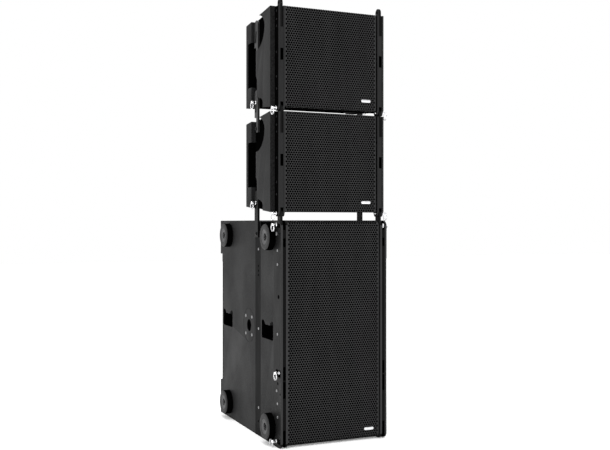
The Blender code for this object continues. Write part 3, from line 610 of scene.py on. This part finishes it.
PIN_RADIUS, PIN_HEAD = 0.0038, 0.017  # the shaft, and the length of the turned head
BALL, BALL_FROM_TIP = 0.0011, 0.0042
RING_WIRE, RING_RADIUS, RING_TURNS, RING_STEPS = 0.0009, 0.0108, 1.93, 72
RING_START = 0.6  # where round the ring, in radians, the wire's first end lies


def pin_axis(node, side):
    """The (y, z) of a pin's axis, its inner and outer ends and the way its ring hangs."""
    spots = np.array([v.co for v in frame["nodes"][node].data.vertices])
    along = spots[:, 0] * side
    tip = spots[along < along.min() + 1e-4]
    axis = tip[:, 1:].min(0) / 2 + tip[:, 1:].max(0) / 2
    away = spots[:, 1:] - axis
    far = away[np.argmax((away**2).sum(1))]
    return axis, along.min(), along.max(), atan2(far[0], -far[1])


def quick_pin(node, body, side):
    """A turned pin with its two locking balls, and the split ring through its head."""
    (y, z), inner, outer, swing = pin_axis(node, side)
    seat = outer - PIN_HEAD
    shape = bmesh.new()
    shaft = [(0, inner), (PIN_RADIUS * 0.55, inner), (PIN_RADIUS * 0.86, inner + 0.0012)]
    shaft += [(PIN_RADIUS, inner + 0.0030), (PIN_RADIUS, seat + 0.0003), (0.0056, seat + 0.0004)]
    shaft += [(0.0059, seat + 0.0009), (0.0059, seat + 0.0026), (0.0055, seat + 0.0032)]
    shaft += [(0.0044, seat + 0.0036), (0.0044, outer - 0.0066), (0.0034, outer - 0.0062)]
    shaft += [(0.0034, outer - 0.0056), (0.0046, outer - 0.0052), (0.0046, outer - 0.0010)]
    shaft += [(0.0038, outer), (0, outer)]
    add_lathe(shape, shaft, Vector((0, y, z)), (side, 0, 0), 40)
    for up in (1, -1):
        centre = Vector((side * (inner + BALL_FROM_TIP), y, z + up * (PIN_RADIUS - SINK)))
        arc = [(BALL * sin(pi * i / 6), -BALL * cos(pi * i / 6)) for i in range(1, 6)]
        add_lathe(shape, [(0, -BALL)] + arc + [(0, BALL)], centre, (0, 0, 1), 10)
    bmesh.ops.recalc_face_normals(shape, faces=shape.faces)
    piece(node + "_body", shape, body, "chrome", (node,), 40)
    ring = bmesh.new()
    hang = RING_RADIUS - 0.001
    centre = Vector((side * (outer - 0.003), y + hang * sin(swing), z - hang * cos(swing)))
    points = []
    for i in range(RING_STEPS + 1):
        share = i / RING_STEPS
        angle = 2 * pi * RING_TURNS * share + RING_START
        shift = RING_WIRE * 1.04 * max(-1, min(1, (share - 0.5) * 9))
        points.append(centre + Vector((shift, RING_RADIUS * sin(angle), RING_RADIUS * cos(angle))))
    add_tube(ring, points, RING_WIRE)
    bmesh.ops.recalc_face_normals(ring, faces=ring.faces)
    piece(node + "_ring", ring, body, "chrome", (), 50)


# ---------------------------------------------------------------- subwoofer fittings

FOOT_SCREW_DEPTH, FOOT_WASHER, WASHER_HEIGHT = 0.0064, 0.0092, 0.0008
FOOT_HIGHLIGHT = (0.0135, 0.0235)  # the radii between which the foot's dish carries a painted highlight
WALL = 0.45  # a face whose normal has less than this along x is a foot's side wall
LEFTWARD, BACKWARD, FORWARD = (-1, 0, 0), (0, 1, 0), (0, -1, 0)
SOCKET_BORE, SOCKET_TUBE, SOCKET_SCREWS = 0.019, 0.0225, 0.029
SIDE_SCREW = (0.0042, 0.0014)  # head radius and height
# Heights of the screws and holes in the flange of a rail and in a rear track.
FLANGE_SCREWS, OFFSET_SCREW = (0.596, 0.554, 0.343, 0.1325, 0.0915), 0.171
TRACK_SCREWS = (0.596, 0.342, 0.0895)
TRACK_HOLES, TRACK_HOLE = (0.542, 0.527, 0.513, 0.046), 0.0032
# Each hole in a rail: distance behind the rail's front, height and radius.
RAIL_HOLES = ((0.025, 0.194, 0.0036), (0.019, 0.456, 0.0054),
              (0.006, 0.1645, 0.0026), (0.007, 0.647, 0.0026))
BOSS_HEIGHT, BOSS_RADIUS, BOSS_RING = 0.647, 0.0054, 0.0066


def foot(node, body):
    """A stacking foot: a rubber disc with a dish, held by one screw and its washer."""
    low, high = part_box(node)
    centre = Vector((high.x, (low.y + high.y) / 2, (low.z + high.z) / 2))
    rim, tall = (high.y - low.y) / 2, high.x - low.x
    profile = [(0, 0), (rim - 0.001, 0), (rim, 0.0012), (rim - 0.0004, tall - 0.0060)]
    profile += [(rim - 0.0012, tall - 0.0036), (rim - 0.0030, tall - 0.0014)]
    profile += [(rim - 0.0058, tall - 0.0002), (rim - 0.0080, tall), (0.0245, tall)]
    profile += [(0.0228, tall - 0.0006), (0.0212, tall - 0.0022), (0.0196, tall - 0.0034)]
    profile += [(0.0176, tall - 0.0038), (0.0120, tall - 0.0039), (0.0108, tall - 0.0046)]
    profile += [(0.0104, tall - FOOT_SCREW_DEPTH), (0, tall - FOOT_SCREW_DEPTH)]
    rubber = lathe(profile, centre, LEFTWARD, 72)
    made = piece(node + "_rubber", rubber, body, "rubber", (node,), 40)
    # Painted shadow: the foot's side wall is black all round.
    paint_faces(made, "shade_black", lambda face: abs(face.normal.x) < WALL)

    def in_highlight(face):
        away = face.center - centre
        return FOOT_HIGHLIGHT[0] < hypot(away.y, away.z) < FOOT_HIGHLIGHT[1] and face.normal.x < -WALL

    # Painted highlight: a pale ring in the dish.
    paint_faces(made, "rubber_highlight", in_highlight)
    screw = bmesh.new()
    seat = centre + Vector((FOOT_SCREW_DEPTH - tall, 0, 0))
    washer = [(0, 0), (FOOT_WASHER, 0), (FOOT_WASHER, WASHER_HEIGHT), (0, WASHER_HEIGHT)]
    add_lathe(screw, washer, seat, LEFTWARD, 32)
    add_screw(screw, seat + Vector((-WASHER_HEIGHT, 0, 0)), LEFTWARD, 0.0062)
    piece(node + "_screw", screw, body, "dark_screw", (), 35)


def pole_socket(body):
    """The round flange on the left side, its tube and its four screws."""
    low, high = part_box("sub_pole_socket")
    centre = Vector((low.x, (low.y + high.y) / 2, (low.z + high.z) / 2))
    rim, deep, bore = (high.y - low.y) / 2, high.x - low.x, SOCKET_BORE
    profile = [(bore, -0.0016), (bore + 0.0012, 0), (rim - 0.0012, 0), (rim, -0.0010)]
    profile += [(rim, -0.0034), (SOCKET_TUBE, -0.0034), (SOCKET_TUBE, -deep), (0, -deep)]
    profile += [(0, -deep + 0.004), (bore, -deep + 0.004)]
    turned = lathe(profile, centre, LEFTWARD, 72)
    replaced = ("sub_pole_socket",)
    flange = piece("pole_socket_flange", turned, body, "rail_coat", replaced, 35)

    def in_bore(face):
        return hypot(*(face.center - centre).yz) < bore + 0.0001

    # Painted shade: black inside the bore.
    paint_faces(flange, "shade_black", in_bore)
    screws = bmesh.new()
    for a in (-1, 1):
        for b in (-1, 1):
            spot = centre + Vector((0, a * SOCKET_SCREWS, b * SOCKET_SCREWS))
            add_screw(screws, spot, LEFTWARD, 0.0048, 0.0016)
    piece("pole_socket_screws", screws, body, "screw_steel")


def side_hardware(body):
    """Screws and threaded holes of the rails' flanges and the rear tracks, on both sides."""
    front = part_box("sub_rail_left")[0].y
    track_low, track_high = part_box("sub_rear_track_left")
    half = -track_low.x
    flange_y = front + 0.027
    track_y = (track_low.y + track_high.y) / 2
    screws, holes = bmesh.new(), bmesh.new()
    for side in SIDES.values():
        axis = (side, 0, 0)
        for z in FLANGE_SCREWS:
            add_screw(screws, (side * half, flange_y, z), axis, *SIDE_SCREW)
        add_screw(screws, (side * half, flange_y + 0.006, OFFSET_SCREW), axis, *SIDE_SCREW)
        for z in TRACK_SCREWS:
            add_screw(screws, (side * half, track_y - 0.006, z), axis, *SIDE_SCREW)
        boss = [(0, 0), (BOSS_RADIUS, 0), (BOSS_RADIUS, 0.0030), (0.0046, 0.0040), (0, 0.0040)]
        boss_at = (side * half, flange_y + 0.0045, BOSS_HEIGHT)
        add_lathe(screws, boss, boss_at, axis, 32)
        add_eyelet(holes, boss_at, axis, BOSS_RING)
        for z in TRACK_HOLES:
            add_eyelet(holes, (side * half, track_y - 0.004, z), axis, TRACK_HOLE)
        for behind, z, radius in RAIL_HOLES:
            add_eyelet(holes, (side * half, front + behind, z), axis, radius)
    piece("sub_side_screws", screws, body, "screw_steel")
    # The holes are black cups: painted shade.
    piece("sub_side_holes", holes, body, "shade_black")


def add_eyelet(shape, at, axis, radius):
    """A shallow black cup: painted shade that stands in for a threaded hole with its chamfer."""
    lip = 0.00025
    profile = [(radius * 1.15, -SINK), (radius * 1.12, lip), (radius * 0.95, lip)]
    profile += [(radius * 0.85, 0.0001), (radius * 0.80, 0.00008), (0, 0.00008), (0, -SINK)]
    add_lathe(shape, profile, at, axis, 24)


ARM_BOLT_RISE = 0.012  # above the arm's lower end
ARM_WASHER, ARM_WASHER_HEIGHT = 0.0058, 0.0009


def arm_hardware():
    """The bolts that hold the rear arms and the washers round them."""
    for prefix, body in (("sub_", SUB), ("lower_", "lower_module")):
        shape = bmesh.new()
        for label, side in SIDES.items():
            low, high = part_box(prefix + "rear_arm_" + label)
            face = high.x if side > 0 else low.x
            axis = Vector((side, 0, 0))
            at = Vector((face, (low.y + high.y) / 2, low.z + ARM_BOLT_RISE))
            washer = [(0, 0), (ARM_WASHER, 0), (ARM_WASHER, ARM_WASHER_HEIGHT)]
            add_lathe(shape, washer + [(0, ARM_WASHER_HEIGHT)], at, axis, 32)
            add_screw(shape, at + axis * ARM_WASHER_HEIGHT, axis, 0.0048, 0.0022)
        piece(prefix + "arm_bolts", shape, body, "dark_screw")


def panel_screw_ring(shape, low, high, face, inset, per_x, per_z, radius):
    """Screws in a rectangle round a rear panel, inset from its edges."""
    for i in range(per_x):
        x = low.x + inset + (high.x - low.x - 2 * inset) * i / (per_x - 1)
        for z in (low.z + inset, high.z - inset):
            add_screw(shape, (x, face, z), BACKWARD, radius, radius * 0.5)
    for i in range(1, per_z - 1):
        z = low.z + inset + (high.z - low.z - 2 * inset) * i / (per_z - 1)
        for x in (low.x + inset, high.x - inset):
            add_screw(shape, (x, face, z), BACKWARD, radius, radius * 0.5)


AMPLIFIER_FACE = 0.2753  # the panel's face behind its raised rim
SIGNAL_X, SIGNAL_HEIGHT, SIGNAL_DEPTH = (0.0, 0.045), 0.480, 0.0119
SIGNAL_INSERT, SIGNAL_CONTACTS = 0.0100, 0.0052
INLET, INLET_HALF, INLET_RIM = (-0.085, 0.190), (0.0135, 0.010), 0.003  # (x, z) pairs
BLADES = ((-0.007, 0.0), (0.007, 0.0), (0.0, 0.004))
LAMPS_AT, LAMP_PITCH = (-0.060, 0.510), 0.012


def amplifier_details(body):
    """Screws, the inside of the sockets and the mains inlet, and three signal lamps."""
    panel = AMPLIFIER_FACE
    low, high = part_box("sub_amplifier")
    screws = bmesh.new()
    panel_screw_ring(screws, low, high, panel, 0.008, 4, 6, 0.0036)
    piece("amplifier_screws", screws, body, "dark_screw")
    inserts, contacts = bmesh.new(), bmesh.new()
    insert = [(0, 0), (SIGNAL_INSERT, 0), (SIGNAL_INSERT, 0.004), (0, 0.004)]
    collar = [(0.0116, SIGNAL_DEPTH), (0.0140, SIGNAL_DEPTH), (0.0140, 0.0135)]
    collar += [(0.0128, 0.0146), (0.0116, 0.0146)]
    contact = [(0, 0), (0.0012, 0), (0.0012, 0.006), (0.0008, 0.0068), (0, 0.0068)]
    for x in SIGNAL_X:
        at = Vector((x, panel - SIGNAL_DEPTH, SIGNAL_HEIGHT))
        add_lathe(inserts, insert, at, BACKWARD, 36)
        add_lathe(inserts, collar, at, BACKWARD, 36)
        for k in range(3):
            angle = pi / 2 + 2 * pi * k / 3
            spot = Vector((SIGNAL_CONTACTS * cos(angle), 0.0035, SIGNAL_CONTACTS * sin(angle)))
            add_lathe(contacts, contact, at + spot, BACKWARD, 14)
    for dx, dz in BLADES:
        x, z = INLET[0] + dx, INLET[1] + dz - 0.001
        add_box(contacts, (x - 0.0010, panel - 0.0138, z - 0.002),
                (x + 0.0010, panel - 0.0040, z + 0.002))
    left, right = INLET[0] - INLET_HALF[0], INLET[0] + INLET_HALF[0]
    bottom, top = INLET[1] - INLET_HALF[1], INLET[1] + INLET_HALF[1]
    for x0, x1, z0, z1 in ((left - INLET_RIM, left, bottom - INLET_RIM, top + INLET_RIM),
                           (right, right + INLET_RIM, bottom - INLET_RIM, top + INLET_RIM),
                           (left, right, bottom - INLET_RIM, bottom),
                           (left, right, top, top + INLET_RIM)):
        add_box(inserts, (x0, panel - 0.0005, z0), (x1, panel + 0.0016, z1))
    bmesh.ops.recalc_face_normals(inserts, faces=inserts.faces)
    bmesh.ops.recalc_face_normals(contacts, faces=contacts.faces)
    piece("amplifier_socket_inserts", inserts, body, "socket_black")
    piece("amplifier_contacts", contacts, body, "contact_metal")
    lamps = bmesh.new()
    dome = [(0, 0), (0.0022, 0), (0.0021, 0.0008), (0.0014, 0.0017), (0, 0.0021)]
    for k in (-1, 0, 1):
        at = (LAMPS_AT[0] + LAMP_PITCH * k, panel, LAMPS_AT[1])
        add_lathe(lamps, dome, at, BACKWARD, 20)
    bmesh.ops.recalc_face_normals(lamps, faces=lamps.faces)
    piece("amplifier_lamps", lamps, body, "lamp_green")


# ---------------------------------------------------------------- drivers

CONE_GAP = 0.0015  # between the cone's rim and the frame's mouth
FRAME_SCREWS = 8
# Shares: the magnet of the frame's radius, the surround and neck of the mouth's radius, and
# how far down the cone its neck lies.
MAGNET, ROLL, NECK, NECK_DEPTH = 0.56, 0.12, 0.32, 0.84
ROLL_HEIGHT = 0.0032


def driver(frame_node, cone_node, frame_body, cone_body):
    """The cast frame with its magnet, and the cone with its roll surround and dust cap."""
    low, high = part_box(frame_node)
    centre = Vector(((low.x + high.x) / 2, low.y, (low.z + high.z) / 2))
    outer, deep = (high.x - low.x) / 2, high.y - low.y
    mouth = (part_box(cone_node)[1].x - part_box(cone_node)[0].x) / 2 + CONE_GAP
    magnet = outer * MAGNET
    profile = [(mouth, 0.0005), (mouth + 0.0008, 0), (outer - 0.0012, 0), (outer, 0.0012)]
    profile += [(outer, 0.0046), (mouth + 0.0030, 0.0047), (mouth + 0.0030, 0.021)]
    profile += [(magnet * 1.02, deep * 0.60), (magnet, deep * 0.66), (magnet, deep * 0.72)]
    profile += [(magnet * 0.95, deep * 0.725), (magnet * 0.95, deep * 0.74), (magnet, deep * 0.745)]
    profile += [(magnet, deep * 0.97), (magnet * 0.96, deep), (0, deep), (0, deep * 0.72)]
    profile += [(mouth * 0.42, deep * 0.72), (mouth * 0.42, deep * 0.62), (mouth, 0.019)]
    shape = lathe(profile, centre, BACKWARD, 72)
    piece(frame_node + "_casting", shape, frame_body, "cast_metal", (frame_node,), 30)
    screws = bmesh.new()
    reach = (outer + mouth) / 2 + 0.001
    for k in range(FRAME_SCREWS):
        angle = 2 * pi * (k + 0.5) / FRAME_SCREWS
        spot = centre + Vector((reach * cos(angle), 0.0001, reach * sin(angle)))
        add_screw(screws, spot, FORWARD, 0.0035, 0.0018)
    piece(frame_node + "_screws", screws, frame_body, "dark_screw")
    start = centre + Vector((0, 0.005, 0))
    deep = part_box(cone_node)[1].y - start.y
    rim, roll, neck = mouth - CONE_GAP, mouth * ROLL, mouth * NECK
    arc = []
    for i in range(9):
        angle = pi * i / 8
        arc.append((rim - roll / 2 - roll / 2 * cos(angle), -ROLL_HEIGHT * sin(angle)))
    cone = [(0, deep * 0.42), (neck * 0.5, deep * 0.47), (neck * 0.9, deep * 0.66)]
    cone += [(neck, deep * NECK_DEPTH)]
    for i in range(1, 8):
        share = i / 8
        spread = (rim - roll - neck) * share**0.8
        cone.append((neck + spread, deep * NECK_DEPTH * (1 - share)))
    cone += arc
    cone += [(rim, 0.0014), (rim - roll / 2, 0.0002), (rim - roll, 0.0030)]
    cone += [(neck + 0.002, deep), (0, deep)]
    paper = lathe(cone, start, BACKWARD, 72)
    piece(cone_node + "_paper", paper, cone_body, "cone_paper", (cone_node,), 30)


# ---------------------------------------------------------------- modules

RAIL_SCREWS = (0.290, 0.265, 0.244, 0.165, 0.091, 0.054)  # heights above the cabinet's bottom
RAIL_SCREW = (0.0036, 0.0014)  # a screw's radius and height
PLATE_SCREWS = (0.005, 3, 3, 0.0028)  # inset, how many across and up, and their radius
SPEAKER_X, SPEAKER_DEPTH, SPEAKER_CONTACTS = (-0.030, 0.030), 0.022, 0.0085


def module_hardware(prefix, body):
    """Screws of the rails and of the input plate, and the inside of its two sockets."""
    low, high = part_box(prefix + "cabinet")
    rail_low, rail_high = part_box(prefix + "rail_left")
    y = (rail_low.y + rail_high.y) / 2
    screws = bmesh.new()
    for side in SIDES.values():
        for rise in RAIL_SCREWS:
            spot = (side * -rail_low.x, y, low.z + rise)
            add_screw(screws, spot, (side, 0, 0), *RAIL_SCREW)
    piece(prefix + "rail_screws", screws, body, "dark_screw")
    plate_low, plate_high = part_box(prefix + "input_plate")
    rear = bmesh.new()
    panel_screw_ring(rear, plate_low, plate_high, plate_high.y, *PLATE_SCREWS)
    piece(prefix + "input_screws", rear, body, "dark_screw")
    inserts, contacts = bmesh.new(), bmesh.new()
    middle = (plate_low.z + plate_high.z) / 2
    deep = high.y + 0.0003 - SPEAKER_DEPTH
    core = [(0, 0), (0.0058, 0), (0.0058, 0.0120), (0.0050, 0.0128), (0, 0.0128)]
    collar = [(0.0116, 0.0150), (0.0144, 0.0150), (0.0144, 0.0166)]
    collar += [(0.0136, 0.0174), (0.0116, 0.0174)]
    for x in SPEAKER_X:
        at = Vector((x, deep, middle))
        add_lathe(inserts, core, at, BACKWARD, 32)
        add_lathe(inserts, collar, at, BACKWARD, 40)
        for k in range(4):
            angle = pi / 4 + pi * k / 2
            reach = Vector((SPEAKER_CONTACTS * cos(angle), 0, SPEAKER_CONTACTS * sin(angle)))
            spot = at + reach
            add_box(contacts, spot - Vector((0.0009, 0, 0.0009)),
                    spot + Vector((0.0009, 0.010, 0.0009)))
    bmesh.ops.recalc_face_normals(inserts, faces=inserts.faces)
    piece(prefix + "socket_inserts", inserts, body, "socket_black")
    piece(prefix + "socket_contacts", contacts, body, "contact_metal")


# ---------------------------------------------------------------- the two kinds of cabinet

# How far the edges are rounded: cabinets, rails, links, arms and panels, and strips.
EDGES = {"cabinet": 0.0016, "rail": 0.0007, "link": 0.0008, "arm": 0.0006, "strip": 0.0004}
FACING = 0.7  # a face whose normal has more than this along an axis faces that way
SQUARE = 0.9  # and with more than this it is square to the axis
POCKET_DEPTH, POCKET_SKIN = 0.013, 0.0005
POCKET_REACH = 0.027, 0.003  # the pocket's lower and upper end, below the cabinet's top
LINK_ROOM = 0.0012  # beside a link, in the slot that it runs in
SLOT_MARGIN = 0.001
RAIL_FRONT = 0.0022  # the thickness of a rail's front
LIP_BAND = 0.0008  # what faces forward within this of a rail's front belongs to its lips
HANDLE_MARGIN, HAND_HOLE_MARGIN = 0.004, 0.0032
SCOOP_REACH = 0.085  # how far the scoops reach ahead of the rear arm
RECESS_MARGIN = 0.002
# The black strip under a cabinet's rear edge is painted shade.
SHADE_STRIP_HALF, SHADE_STRIP_TALL, SHADE_STRIP_DEEP = 0.160, 0.0043, 0.014
SHADE_STRIP_SINK, SHADE_STRIP_FROM_BACK, SHADE_STRIP_EDGE = 0.0014, 0.002, 0.0010


def pocket_boxes():
    """The shallow pockets above the front feet, between the tracks and the rails."""
    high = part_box("sub_cabinet")[1]
    back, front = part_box("sub_rear_track_left")[0].y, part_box("sub_rail_left")[1].y
    pockets = []
    for side in SIDES.values():
        x = sorted((side * (high.x - POCKET_DEPTH), side * (high.x - POCKET_SKIN)))
        z = [high.z - reach for reach in POCKET_REACH]
        pockets.append(((x[0], front, z[0]), (x[1], back, z[1])))
    return pockets


def slot_boxes(side):
    """The hollow that the links run in, inside a rail of the subwoofer."""
    low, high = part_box("sub_rail_left")
    link_low, link_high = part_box("sub_front_link_left")
    x = sorted(side * -edge for edge in (link_low.x - LINK_ROOM, link_high.x + LINK_ROOM))
    return [((x[0], low.y + RAIL_FRONT, low.z - SLOT_MARGIN),
             (x[1], high.y + SLOT_MARGIN, high.z + SLOT_MARGIN))]


def build_subwoofer():
    """The subwoofer's cabinet and everything that is fixed to it or moves on it."""
    shell = refined("sub_cabinet", SUB, "sub_paint", EDGES["cabinet"])
    # Painted shade: black inside the handles, the ports and the pockets above the front feet.
    darken_inside(shell, opening_boxes(("handle", "port"), HANDLE_MARGIN) + pocket_boxes())
    grille("sub_grille", SUB, roll=0.020, foam_gap=0.0055, foam_thick=0.005)
    badge("sub_badge", "sub_grille", SUB)
    for label, side in SIDES.items():
        rail = refined("sub_rail_" + label, SUB, "rail_coat", EDGES["rail"])
        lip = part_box("sub_rail_" + label)[0].y + LIP_BAND
        # Painted highlight on the rails' front edges.
        paint_faces(rail, "rail_lip_highlight", lambda face: face.normal.y < -FACING)
        # Painted shade on the forward faces set back behind the rails' front edges.
        paint_faces(rail, "rail_web_shade",
                    lambda face: face.normal.y < -FACING and face.center.y > lip)
        # Painted shade: black in the slot that the links run in.
        darken_inside(rail, slot_boxes(side))
        for kind, coat, edge in (("rear_track", "track_coat", "strip"),
                                 ("front_link", "arm_coat", "link"),
                                 ("rear_arm", "arm_coat", "arm")):
            refined(f"sub_{kind}_{label}", SUB, coat, EDGES[edge])
        for place in ("top", "middle", "bottom"):
            node = f"sub_{place}_pin_{label}"
            quick_pin(node, node, side)
    for place in ("front", "rear"):
        for level in ("bottom", "top"):
            foot(f"sub_foot_{place}_{level}", SUB)
    pole_socket(SUB)
    side_hardware(SUB)
    refined("sub_amplifier", SUB, "panel_coat", EDGES["arm"])
    amplifier_details(SUB)
    for node in ("level_knob", "power_switch"):
        refined("sub_" + node, node, "moulding", EDGES["strip"])
    for level in ("upper", "lower"):
        cone = "sub_cone_" + level
        driver("sub_woofer_" + level, cone, SUB, cone)


def in_arm_recess(prefix, face, reach):
    """Whether a face belongs to the channel of the rear arm or to the scoops beside it."""
    arm_low, arm_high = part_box(prefix + "rear_arm_left")
    floor = -arm_high.x
    x, y, _ = face.center
    within = floor - RECESS_MARGIN < abs(x) < reach - RECESS_MARGIN
    beside = arm_low.y - SCOOP_REACH < y < arm_high.y
    return within and beside and face.normal.y > -SQUARE


def rear_bumper(prefix, body):
    """A black strip under a cabinet's rear edge, standing in for the shade along its bottom edge.
    """
    low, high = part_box(prefix + "cabinet")
    corners = [v.co for v in frame["nodes"][prefix + "cabinet"].data.vertices]
    under = max(c.z for c in corners
                if c.y > high.y - 0.001 and abs(c.x) < high.x - 0.01 and c.z < low.z + 0.04)
    back = high.y - SHADE_STRIP_FROM_BACK
    strip = add_box(bmesh.new(), (-SHADE_STRIP_HALF, back - SHADE_STRIP_DEEP, under - SHADE_STRIP_TALL),
                    (SHADE_STRIP_HALF, back, under + SHADE_STRIP_SINK))
    bmesh.ops.recalc_face_normals(strip, faces=strip.faces)
    name = prefix + "rear_bumper"
    piece(name, strip, body, "shade_black", (), 35, SHADE_STRIP_EDGE)


def paint_module(prefix, shell):
    """Paints shade on a module: duller paint on forward faces, darker paint beneath, black in its
    hollows.
    """
    low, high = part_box(prefix + "cabinet")
    # Painted shade: forward faces take the duller copy of the paint.
    paint_faces(shell, "shaded_paint", lambda face: face.normal.y < -SQUARE)
    # Painted shade: the underside is darker.
    paint_faces(shell, "underside_shade_paint", lambda face: face.normal.z < -SQUARE)
    # Painted shade: black inside the hand holes.
    hand_holes = opening_boxes(("hand_hole",), HAND_HOLE_MARGIN)
    darken_inside(shell, [box for box in hand_holes if low.z < box[0][2] < high.z])
    # Painted shade: black in the rear arm's channel and the scoops beside it.
    recess = [face.index for face in shell.data.polygons if in_arm_recess(prefix, face, high.x)]
    paint_faces(shell, "shade_black", lambda face: face.index in recess)
    # In the lower module the upper part of that recess takes the duller paint instead: lighter
    # painted shade.
    if prefix == "lower_":
        middle = (low.z + high.z) / 2
        paint_faces(shell, "shaded_paint",
                    lambda face: face.index in recess and face.center.z > middle)


def build_module(prefix, body):
    """A module's cabinet and everything that is fixed to it or moves on it."""
    shell = refined(prefix + "cabinet", body, "module_paint", EDGES["cabinet"])
    paint_module(prefix, shell)
    grille(prefix + "grille", body, roll=0.003, foam_gap=0.0022, foam_thick=0.0025)
    badge(prefix + "badge", prefix + "grille", body)
    moving = prefix == "upper_"
    for label, side in SIDES.items():
        rail = refined(prefix + "rail_" + label, body, "rail_front", EDGES["rail"])
        # Painted shadow: the rails' side faces are black.
        paint_faces(rail, "rail_side_shadow", lambda face: abs(face.normal.x) > FACING)
        link, arm = prefix + "front_link_" + label, prefix + "rear_arm_" + label
        refined(link, link if moving else body, "arm_coat", EDGES["link"])
        # Painted highlight: the rear arms take the lighter copy of the arm coat.
        refined(arm, arm if moving else body, "arm_coat_lit", EDGES["arm"])
        for place in ("front", "rear"):
            node = f"{prefix}{place}_pin_{label}"
            quick_pin(node, node, side)
    refined(prefix + "input_plate", body, "moulding", EDGES["arm"])
    refined(prefix + "waveguide", body, "moulding", EDGES["link"])
    rear_bumper(prefix, body)
    module_hardware(prefix, body)
    driver(prefix + "woofer", prefix + "cone", body, prefix + "cone")


# ---------------------------------------------------------------- studio

FLOOR_HALF, FLOOR_DROP, FLOOR_GLOW = 12, 0.0004, 0.18
OVERHEAD_POWER, OVERHEAD_SPREAD = 2.1, radians(40)
KEY = {"at": (-3.2, -1.9, 1.2), "aim": (0, -0.2, 0.7), "size": (1.0, 1.6), "power": 26}
CAMERA_AT, CAMERA_HEADING = (-1.158, -2.7215, 0.6795), atan2(0.3986, 0.9171)
LENS_MM, SENSOR_MM, SHIFT_Y = 51.61, 36, -0.0034


def area_light(name, at, aim, size, power):
    """A rectangular lamp that points from one spot at another."""
    data = bpy.data.lights.new(name, "AREA")
    data.shape = "RECTANGLE"
    data.size, data.size_y = size
    data.energy = power
    light = bpy.data.objects.new(name, data)
    light.location = at
    light.rotation_euler = (Vector(aim) - Vector(at)).to_track_quat("-Z", "Y").to_euler()
    bpy.context.scene.collection.objects.link(light)


def studio():
    """White walls, a pale floor with a soft lamp straight above it, and a key lamp on the left."""
    scene = bpy.context.scene
    world = bpy.data.worlds.new("studio")
    world.use_nodes = True
    world.node_tree.nodes["Background"].inputs["Color"].default_value = (1, 1, 1, 1)
    scene.world = world
    scene.view_settings.view_transform = "Standard"
    shape = bmesh.new()
    bmesh.ops.create_grid(shape, x_segments=1, y_segments=1, size=FLOOR_HALF)
    mesh = bpy.data.meshes.new("floor")
    shape.to_mesh(mesh)
    shape.free()
    floor = bpy.data.objects.new("floor", mesh)
    floor.location = (0, 0, -FLOOR_DROP)
    pale = new_material("floor_pale", (0.93, 0.93, 0.93), roughness=0.9)
    glow = pale.node_tree.nodes["Principled BSDF"].inputs
    glow["Emission Color"].default_value = (1, 1, 1, 1)
    glow["Emission Strength"].default_value = FLOOR_GLOW
    mesh.materials.append(pale)
    scene.collection.objects.link(floor)
    sun = bpy.data.lights.new("overhead", "SUN")
    sun.energy, sun.angle = OVERHEAD_POWER, OVERHEAD_SPREAD
    scene.collection.objects.link(bpy.data.objects.new("overhead", sun))
    area_light("key", **KEY)


def camera():
    """A level camera left of the front, where the verticals stay parallel."""
    data = bpy.data.cameras.new("camera")
    data.lens = LENS_MM
    data.sensor_width = SENSOR_MM
    data.shift_y = SHIFT_Y
    data.clip_start, data.clip_end = 0.05, 60
    made = bpy.data.objects.new("camera", data)
    made.location = CAMERA_AT
    made.rotation_euler = (pi / 2, 0, -CAMERA_HEADING)
    bpy.context.scene.collection.objects.link(made)
    bpy.context.scene.camera = made


camera()
studio()
build_subwoofer()
for prefix, body in MODULES.items():
    build_module(prefix, body)
arm_hardware()
